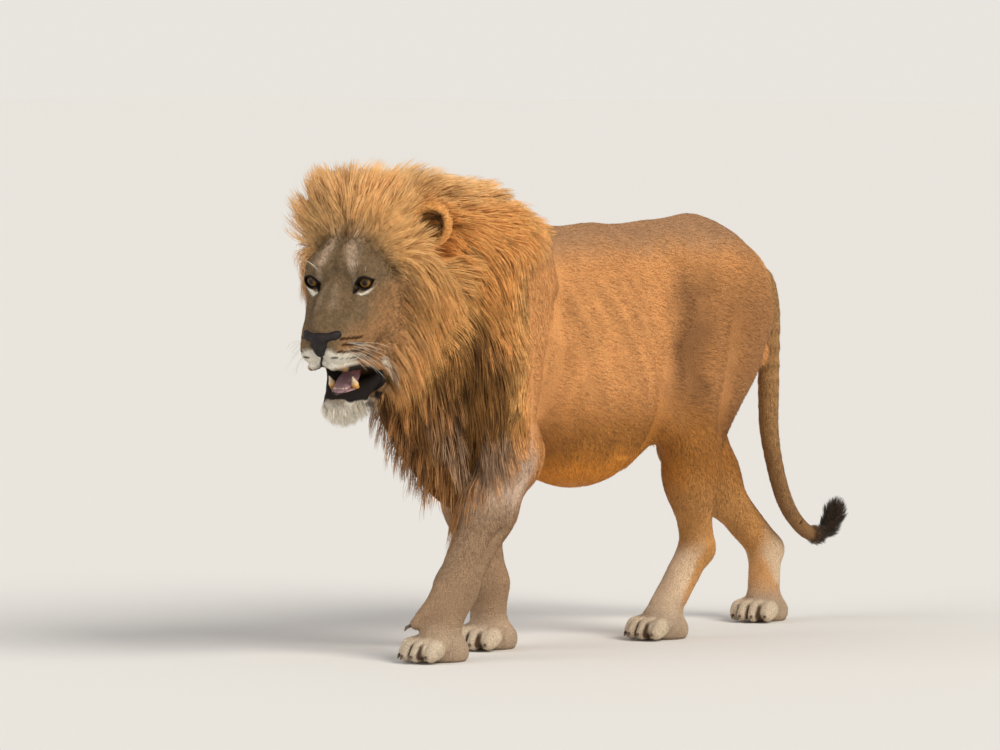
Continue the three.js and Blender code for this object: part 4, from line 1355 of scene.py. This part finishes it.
def trace(root, normal, run, length, lift, stiff, field, rings):
    """Paths that leave the root and run over the surface of a field, rising to the height lift by their tips.
    A stiff lock keeps its first direction and stands off where the surface bends away."""
    direction = laid(run(root), normal)
    rise = np.clip(1.2 * lift / np.maximum(length, 1), 0, 0.9)
    direction = unit(direction + normal * rise[:, None])
    path, p, n = [root], root, normal
    for k in range(1, rings + 1):
        want = unit(laid(run(p), n))
        direction = unit(want * (1 - stiff)[:, None] + direction * stiff[:, None])
        p = p + direction * (length / rings)[:, None]
        d, g = slope(field, p)
        n = unit(g)
        least = 0.55 * lift * (1 - (1 - k / rings) ** 1.6)
        most = lift * (1 - (1 - k / rings) ** 2.2) + 34 * (stiff * k / rings) ** 2
        p = p + n * (np.clip(d, least, most) - d)[:, None]
        path.append(p)
    return np.stack(path, 1)


def fly(root, start, run, length, droop, rings):
    """Paths free of the surface, each bending from the way it starts to the way it falls."""
    direction, path, p = unit(start), [root], root
    for k in range(1, rings + 1):
        bend = (droop * k / rings)[:, None]
        direction = unit(direction * (1 - bend) + run * bend)
        p = p + direction * (length / rings)[:, None]
        path.append(p)
    return np.stack(path, 1)


def spread(direction, normal, angle):
    """Turns directions about the normals by an angle in radians."""
    side = np.cross(normal, direction)
    return direction * np.cos(angle)[:, None] + side * np.sin(angle)[:, None]


# the mane
def base_field(p):
    body = blend(LIMB_BLEND, PARTS["trunk"], LEGS["fore_left"], LEGS["fore_right"])
    return blend(PART_BLEND, PARTS["mane"], PARTS["head"], body)(p)


def even(*sizes):
    """A shape that is the same at every root."""
    return lambda p: [np.full(len(p), float(size)) for size in sizes]


def clumps(root, share):
    """For each root, the number of the root whose strand it belongs to."""
    guides = RNG.choice(len(root), max(1, int(len(root) * share)), replace=False)
    tree = kdtree.KDTree(len(guides))
    for i, g in enumerate(guides):
        tree.insert(root[g], i)
    tree.balance()
    return guides[np.array([tree.find(r)[1] for r in root])]


def long_hair(name, where, roots, shape, field, material,
              rings=4, sway=0.2, share=0.07, pull=0.5, dark=0.3, ways=None):
    """Long locks gathered in strands. Shape gives length, height, width and stiffness, and a dark strand lies
    low. With ways, they start one way and fall another, free of the surface, bending by their stiffness."""
    root, normal, uv = sample(np.where(where, float(roots), 0))
    here = part_values(root)
    mine = clumps(root, share)
    strand = (1 + dark * RNG.standard_normal(len(root)))[mine].clip(0.35, 1.5)
    length, lift, width, stiff = shape(root)
    length = length * RNG.uniform(0.7, 1.1, len(root)) * (0.75 + 0.25 * strand)
    lift = lift * RNG.uniform(0.5, 1.0, len(root)) * (0.45 + 0.5 * strand).clip(0.3, 1.05)
    width = width * RNG.uniform(0.7, 1.25, len(root))
    swing = sway * (noise(root, 70, 11) + 0.6 * noise(root, 22, 12)) + 0.07 * RNG.standard_normal(len(root))

    def run(p):
        n = unit(slope(field, p)[1])
        return spread(laid(lie(p, part_values(p)), n), n, swing)

    if ways:
        start, fall = ways(root, normal)
        start = unit(start) + 0.1 * RNG.standard_normal(root.shape)
        start = start + 0.2 * RNG.standard_normal(root.shape)[mine]
        path = fly(root, start, fall, length, stiff, rings)
    else:
        path = trace(root, normal, run, length, lift, stiff, field, rings)
    path += (path[mine] - path) * (pull * (np.arange(rings + 1) / rings) ** 1.3)[None, :, None]
    colour = paint(root, here)
    tips = paint(path[:, -1], part_values(path[:, -1])) if name != "beard" else colour
    shade = strand * (1 + 0.13 * RNG.standard_normal(len(root))) * (1 + 0.15 * noise(root, 11, 13))
    shade = np.clip(shade, 0.25, 1.6)[:, None]
    # darker at the root than at the tip: painted shade deep in the coat
    root_tint = tone(colour * 0.95 * shade)
    tip_tint = tone(mix(colour, tips, 0.35) * 1.3 * shade)
    order = np.argsort(root[:, 1])
    chunks = np.array_split(order, math.ceil(len(order) * (6 * rings - 2) / PIECE_TRIANGLES))
    for i, c in enumerate(chunks):
        label = name if len(chunks) == 1 else "%s_%d" % (name, i + 1)
        n = normal[c][:, None].repeat(rings + 1, 1)
        locks(label, path[c], n, width[c], root_tint[c], tip_tint[c], uv[c], material)


def mane_shape(p):
    q = to_head(p)
    behind = face_border(q)
    ramp = ease(-15, 45, behind)
    z, end = p[:, 2], mane_end(p)
    ruff = ease(190, 60, behind) * ease(330, 230, np.sqrt((q ** 2).sum(1)))
    length = 85 + 30 * ease(1020, 800, z) + 45 * ease(760, 600, z)
    length = length + 30 * ruff * ease(60, -20, q[:, 2])
    length = np.minimum(length, 40 + 0.8 * np.maximum(end, 0))
    length = length * (0.2 + 0.8 * ramp)
    depth = np.clip(-envelope(p), 9, 44)
    lift = depth * (0.25 + 0.75 * ramp) * (0.5 + 0.5 * ease(0, 120, end))
    lift = lift * (1 + 0.55 * ease(1000, 1080, z) * ease(10, 110, end))
    width = 1.3 + 0.7 * ramp
    stiff = 0.3 + 0.55 * np.maximum(ruff, ease(1040, 1110, z) * ease(40, 140, end)) * ramp
    return length, lift, width, stiff


def grow_mane():
    long_hair("mane", long_haired, MANE_ROOTS, mane_shape, base_field,
              coat_material("mane_hair", 0.5, 0.35))


def grow_fringe():
    """The tips that hang free along the throat and the front of the chest."""
    front = (facing[:, 1] < -0.35) & (centre[:, 2] > 430) & (centre[:, 2] < 800) & (centre_head[:, 1] > 10)
    front &= long_haired & (np.abs(centre[:, 0]) < 130)
    long_hair("fringe", front, FRINGE_ROOTS, even(95, 0, 2.0, 0.45), base_field,
              coat_material("fringe_hair", 0.5, 0.3), share=0.16, pull=0.6,
              ways=lambda p, n: (0.55 * n + np.array((0, 0.1, -0.9)), np.tile((0, 0.18, -1.0), (len(p), 1))))


def ruff_shape(p):
    q = to_head(p)
    behind, z, side = face_border(q), q[:, 2], np.abs(q[:, 0])
    edge = ease(-48, 22, behind)
    top = ease(10, 80, z)
    flank = ease(60, 105, side) * ease(100, 62, z)
    length = (16 + 109 * edge) * (1 - top) + (16 + (82 + 34 * flank) * edge) * top
    length = length + 22 * ease(-60, -140, z) * edge
    length = length * (1 - 0.42 * ease(64, 88, q[:, 0]) * ease(20, 56, z) * ease(120, 92, z))
    droop = 0.8 * (1 - top) + 0.34 * top
    return length, 0 * z, 0.9 + 0.6 * edge, droop


def ruff_ways(p, normal):
    """Out from the face all round: up and back over the brow, sideways by the ears, down at the cheeks."""
    q = to_head(p)
    x, z = q[:, 0], q[:, 2]
    edge = ease(-48, 22, face_border(q))[:, None]
    ray = unit(columns(x, 0 * x, z - 15))
    ray[:, 1] += 0.25 + 0.25 * ease(20, -60, z)
    ray[:, 2] -= 0.5 * ease(20, -60, z)
    fall = columns(0.3 * np.sign(x), 0.75 + 0 * x, 0.25 * np.sign(z - 40)) @ HEAD_AXES.T
    down = ease(60, -10, z)[:, None]
    fall = unit(fall) * (1 - down) + np.array((0, 0.3, -1.0)) * down
    low = columns(0.5 * np.sign(x) * ease(30, 90, np.abs(x)), 0.8 + 0 * x, 0.6 * ease(-40, 60, z) - 0.4)
    return (ray * edge + unit(low) * (1 - edge)) @ HEAD_AXES.T + 0.25 * normal, unit(fall)


def grow_ruff():
    x, z = centre_head[:, 0], centre_head[:, 2]
    behind = face_border(centre_head)
    flesh = (centre_values[:, NUMBER["ears"]] - centre_values.min(1) > 3) & (centre[:, 1] < -600)
    bare = ((z < -236) & (np.abs(x) < 52)) | ((x < 0) & (z < -120)) | (z <= -285) | (centre_tint[:, 0] < 0.1)
    band = (behind > -26 - 22 * ease(40, -40, z)) & (behind < 46) & flesh & ~bare
    long_hair("ruff", band, RUFF_ROOTS, ruff_shape, base_field, coat_material("ruff_hair", 0.5, 0.6),
              share=0.06, pull=0.36, dark=0.22, ways=ruff_ways)


def tuft_shape(p):
    along = ease(940, 1010, p[:, 1])
    return 17 + 6 * along, 0 * along, 1.1 + 0 * along, 0.5 + 0 * along


def tuft_ways(p, normal):
    run = lie(p, part_values(p))
    return 0.75 * normal + run, 0.3 * normal + run


def grow_tufts():
    """The tail's tuft, the beard of the chin, and the hair of the ears."""
    tail = (nearest == NUMBER["tuft"]) | ((nearest == NUMBER["tail"]) & (centre[:, 1] > 915))
    long_hair("tail_hair", tail, TUFT_ROOTS, tuft_shape, skin_field, coat_material("tuft_hair", 0.45, 0.1),
              rings=3, sway=0.1, share=0.2, pull=0.1, dark=0.2, ways=tuft_ways)
    x, y, z = centre_head.T
    chin = (nearest == NUMBER["head"]) & (z < -250) & (y < -40) & (np.abs(x) < 60) & (centre_tint[:, 0] > 0.1)
    soft = coat_material("beard_hair", 0.55, 0.1)
    long_hair("beard", chin, BEARD_ROOTS, even(30, 12, 1.1, 0.5), skin_field, soft,
              rings=3, share=0.2, pull=0.12, dark=0.03,
              ways=lambda p, n: (0.45 * n + np.array((0, 0.1, -0.8)), np.tile((0, 0.25, -1.0), (len(p), 1))))
    long_hair("ear_hair", nearest == NUMBER["ears"], EAR_ROOTS, even(17, 7, 1.4, 0.3), skin_field, soft,
              rings=2, sway=0.25, share=0.12, pull=0.3, dark=0.06)


def grow_whiskers():
    """Fine stiff hairs from the spots of the muzzle, and a few over the eyes."""
    starts, ways = [], []
    for _, s in SIDES:
        for _ in range(18):
            u, v = RNG.random(2)
            starts.append((s * (50 + 22 * u), -143 + 42 * u, -92 - 34 * v - 14 * u))
            ways.append((s * (0.85 + 0.2 * RNG.random()), 0.25 + 0.5 * u, -0.15 - 0.75 * v))
        for k in range(5):
            starts.append((s * (44 + 3 * k), -22 + 4 * k, 34))
            ways.append((s * (0.1 + 0.1 * k), -0.5, 1.0))
    world = in_head(head_field())
    root = settle(world, from_head(np.array(starts)), 6, 20)
    way = unit(np.array(ways)) @ HEAD_AXES.T
    length = np.tile(np.append(RNG.uniform(45, 105, 18), RNG.uniform(25, 40, 5)), 2)
    path = fly(root, way, np.array((0, 0.2, -1.0)), length, np.full(len(root), 0.16), 6)
    face = np.array([((centre - r) ** 2).sum(1).argmin() for r in root])
    uv = unwrap.place(root, face_part[face], face_side[face])
    tint = np.tile(np.array(WHISKER), (len(root), 1))
    up = np.cross(way, (0, 0, 1.0))[:, None].repeat(7, 1)
    locks("whiskers", path, up, np.full(len(root), 0.8), tint, tint, uv, coat_material("whisker_hair", 0.4),
          0.8)


def spikes(name, density, shape, material, seed):
    """Short tufts of one tip each, lying along the coat; shape gives length, width and lean."""
    root, normal, uv = sample(density)
    here = part_values(root)
    size, wide, tilt = shape(root)
    size = size * RNG.uniform(0.75, 1.25, len(root))
    run = laid(lie(root, here), normal)
    run = spread(run, normal, 0.22 * noise(root, 24, seed) + 0.14 * RNG.standard_normal(len(root)))
    tilt = tilt * RNG.uniform(0.6, 1.4, len(root))
    tip = root + run * size[:, None] * np.cos(tilt * 0.6)[:, None]
    tip = tip + normal * (size * np.sin(tilt * 0.6))[:, None]
    shade = 0.13 * RNG.standard_normal(len(root)) - 0.3 * (RNG.random(len(root)) < 0.08)
    colour = paint(root, here)
    shade = np.clip(mottle(root, here.argmin(1) == NUMBER["head"], colour) + shade[:, None], 0.3, 1.7)
    # darker at the root than at the tip: painted shade deep in the coat
    root_tint, tip_tint = tone(colour * 0.75 * shade), tone(colour * 1.12 * shade)
    path = np.stack([root - normal * 0.6, tip], 1)
    chunks = np.array_split(np.argsort(root[:, 1]), math.ceil(len(root) * 4 / PIECE_TRIANGLES))
    for i, c in enumerate(chunks):
        locks("%s_%d" % (name, i + 1), path[c], normal[c][:, None].repeat(2, 1), wide[c],
              root_tint[c], tip_tint[c], uv[c], material)


def body_shape(p):
    up = ease(60, 420, p[:, 2])
    return 9 + 9 * up, 1.8 + 1.0 * up, np.full(len(p), 0.11)


def face_shape(p):
    back = ease(-90, 20, face_border(to_head(p)))
    return 5.0 + 8 * back, 1.4 + 0.5 * back, np.full(len(p), 0.34)


def grow_short_coat():
    head = nearest == NUMBER["head"]
    bare = (mouth(centre_head) < 5) | (centre_tint[:, 0] < 0.05)
    others = [NUMBER[n] for n in ("head", "ears", "tuft")]
    body = ~np.isin(nearest, others) & ~long_haired & (centre[:, 2] >= 4)
    face = head & ~bare & (face_border(centre_head) < 20)
    density = np.where(body, np.where(centre[:, 2] < 110, float(FOOT_ROOTS), BODY_ROOTS), 0)
    material = coat_material("coat_hair", 0.62)
    spikes("coat_body", density, body_shape, material, 21)
    spikes("coat_face", np.where(face, float(FACE_ROOTS), 0), face_shape, material, 22)


grow_mane()
grow_fringe()
grow_ruff()
grow_tufts()
grow_short_coat()
grow_whiskers()


# ---- stage ----
CAMERA, HEADING = (10.551, -12.017, 1.54), 42  # metres, degrees
FOCAL, HORIZON, PHOTO_WIDTH, SENSOR = 6400, 348, 1000, 36  # pixels, pixels up from the middle, pixels, mm
SKY_POWER = 0.40
SUNS = [  # name, power, angle, colour, towards
    ("key", 2.5, 34, (1.0, 0.95, 0.86), (0.80, 0.05, 0.62)),
    ("fill", 0.9, 50, (1.0, 0.98, 0.95), (-0.30, -0.80, 0.52)),
]


def studio():
    camera = bpy.data.objects.new("camera", bpy.data.cameras.new("camera"))
    bpy.context.scene.collection.objects.link(camera)
    camera.location = CAMERA
    heading, fall = math.radians(HEADING), math.atan(HORIZON / FOCAL)
    level = math.cos(fall)
    forward = Vector((-math.sin(heading) * level, math.cos(heading) * level, -math.sin(fall)))
    camera.rotation_mode = "QUATERNION"
    camera.rotation_quaternion = forward.to_track_quat("-Z", "Y")
    camera.data.lens, camera.data.sensor_width = FOCAL * SENSOR / PHOTO_WIDTH, SENSOR
    camera.data.clip_end = 200
    bpy.context.scene.camera = camera

    material, tree, shader = new_material("floor", 0.9, 0.1)
    shader.inputs["Base Color"].default_value = (0.80, 0.79, 0.77, 1)
    mesh = bpy.data.meshes.new("floor")
    half = 90  # metres
    corners = [(-half, -half, 0), (half, -half, 0), (half, half, 0), (-half, half, 0)]
    mesh.from_pydata(corners, [], [(0, 1, 2, 3)])
    mesh.materials.append(material)
    floor = bpy.data.objects.new("floor", mesh)
    bpy.context.scene.collection.objects.link(floor)

    # an even sky, shown to the camera as bright as the floor
    world = bpy.data.worlds.new("studio")
    bpy.context.scene.world = world
    world.use_nodes = True
    tree = world.node_tree
    sky = tree.nodes["Background"]
    sky.inputs["Color"].default_value = (1.0, 0.99, 0.98, 1)
    sky.inputs["Strength"].default_value = SKY_POWER
    backdrop = tree.nodes.new("ShaderNodeBackground")
    backdrop.inputs["Color"].default_value = (0.812, 0.785, 0.738, 1)
    backdrop.inputs["Strength"].default_value = 1.0
    path = tree.nodes.new("ShaderNodeLightPath")
    choose = tree.nodes.new("ShaderNodeMixShader")
    tree.links.new(path.outputs["Is Camera Ray"], choose.inputs["Fac"])
    tree.links.new(sky.outputs["Background"], choose.inputs[1])
    tree.links.new(backdrop.outputs["Background"], choose.inputs[2])
    tree.links.new(choose.outputs["Shader"], tree.nodes["World Output"].inputs["Surface"])

    for name, power, angle, colour, toward in SUNS:
        sun = bpy.data.lights.new(name, "SUN")
        sun.energy, sun.angle, sun.color = power, math.radians(angle), colour
        holder = bpy.data.objects.new(name, sun)
        holder.rotation_mode = "QUATERNION"
        holder.rotation_quaternion = Vector(toward).to_track_quat("Z", "Y")
        bpy.context.scene.collection.objects.link(holder)


studio()
bpy.context.scene.view_settings.view_transform = "Standard"
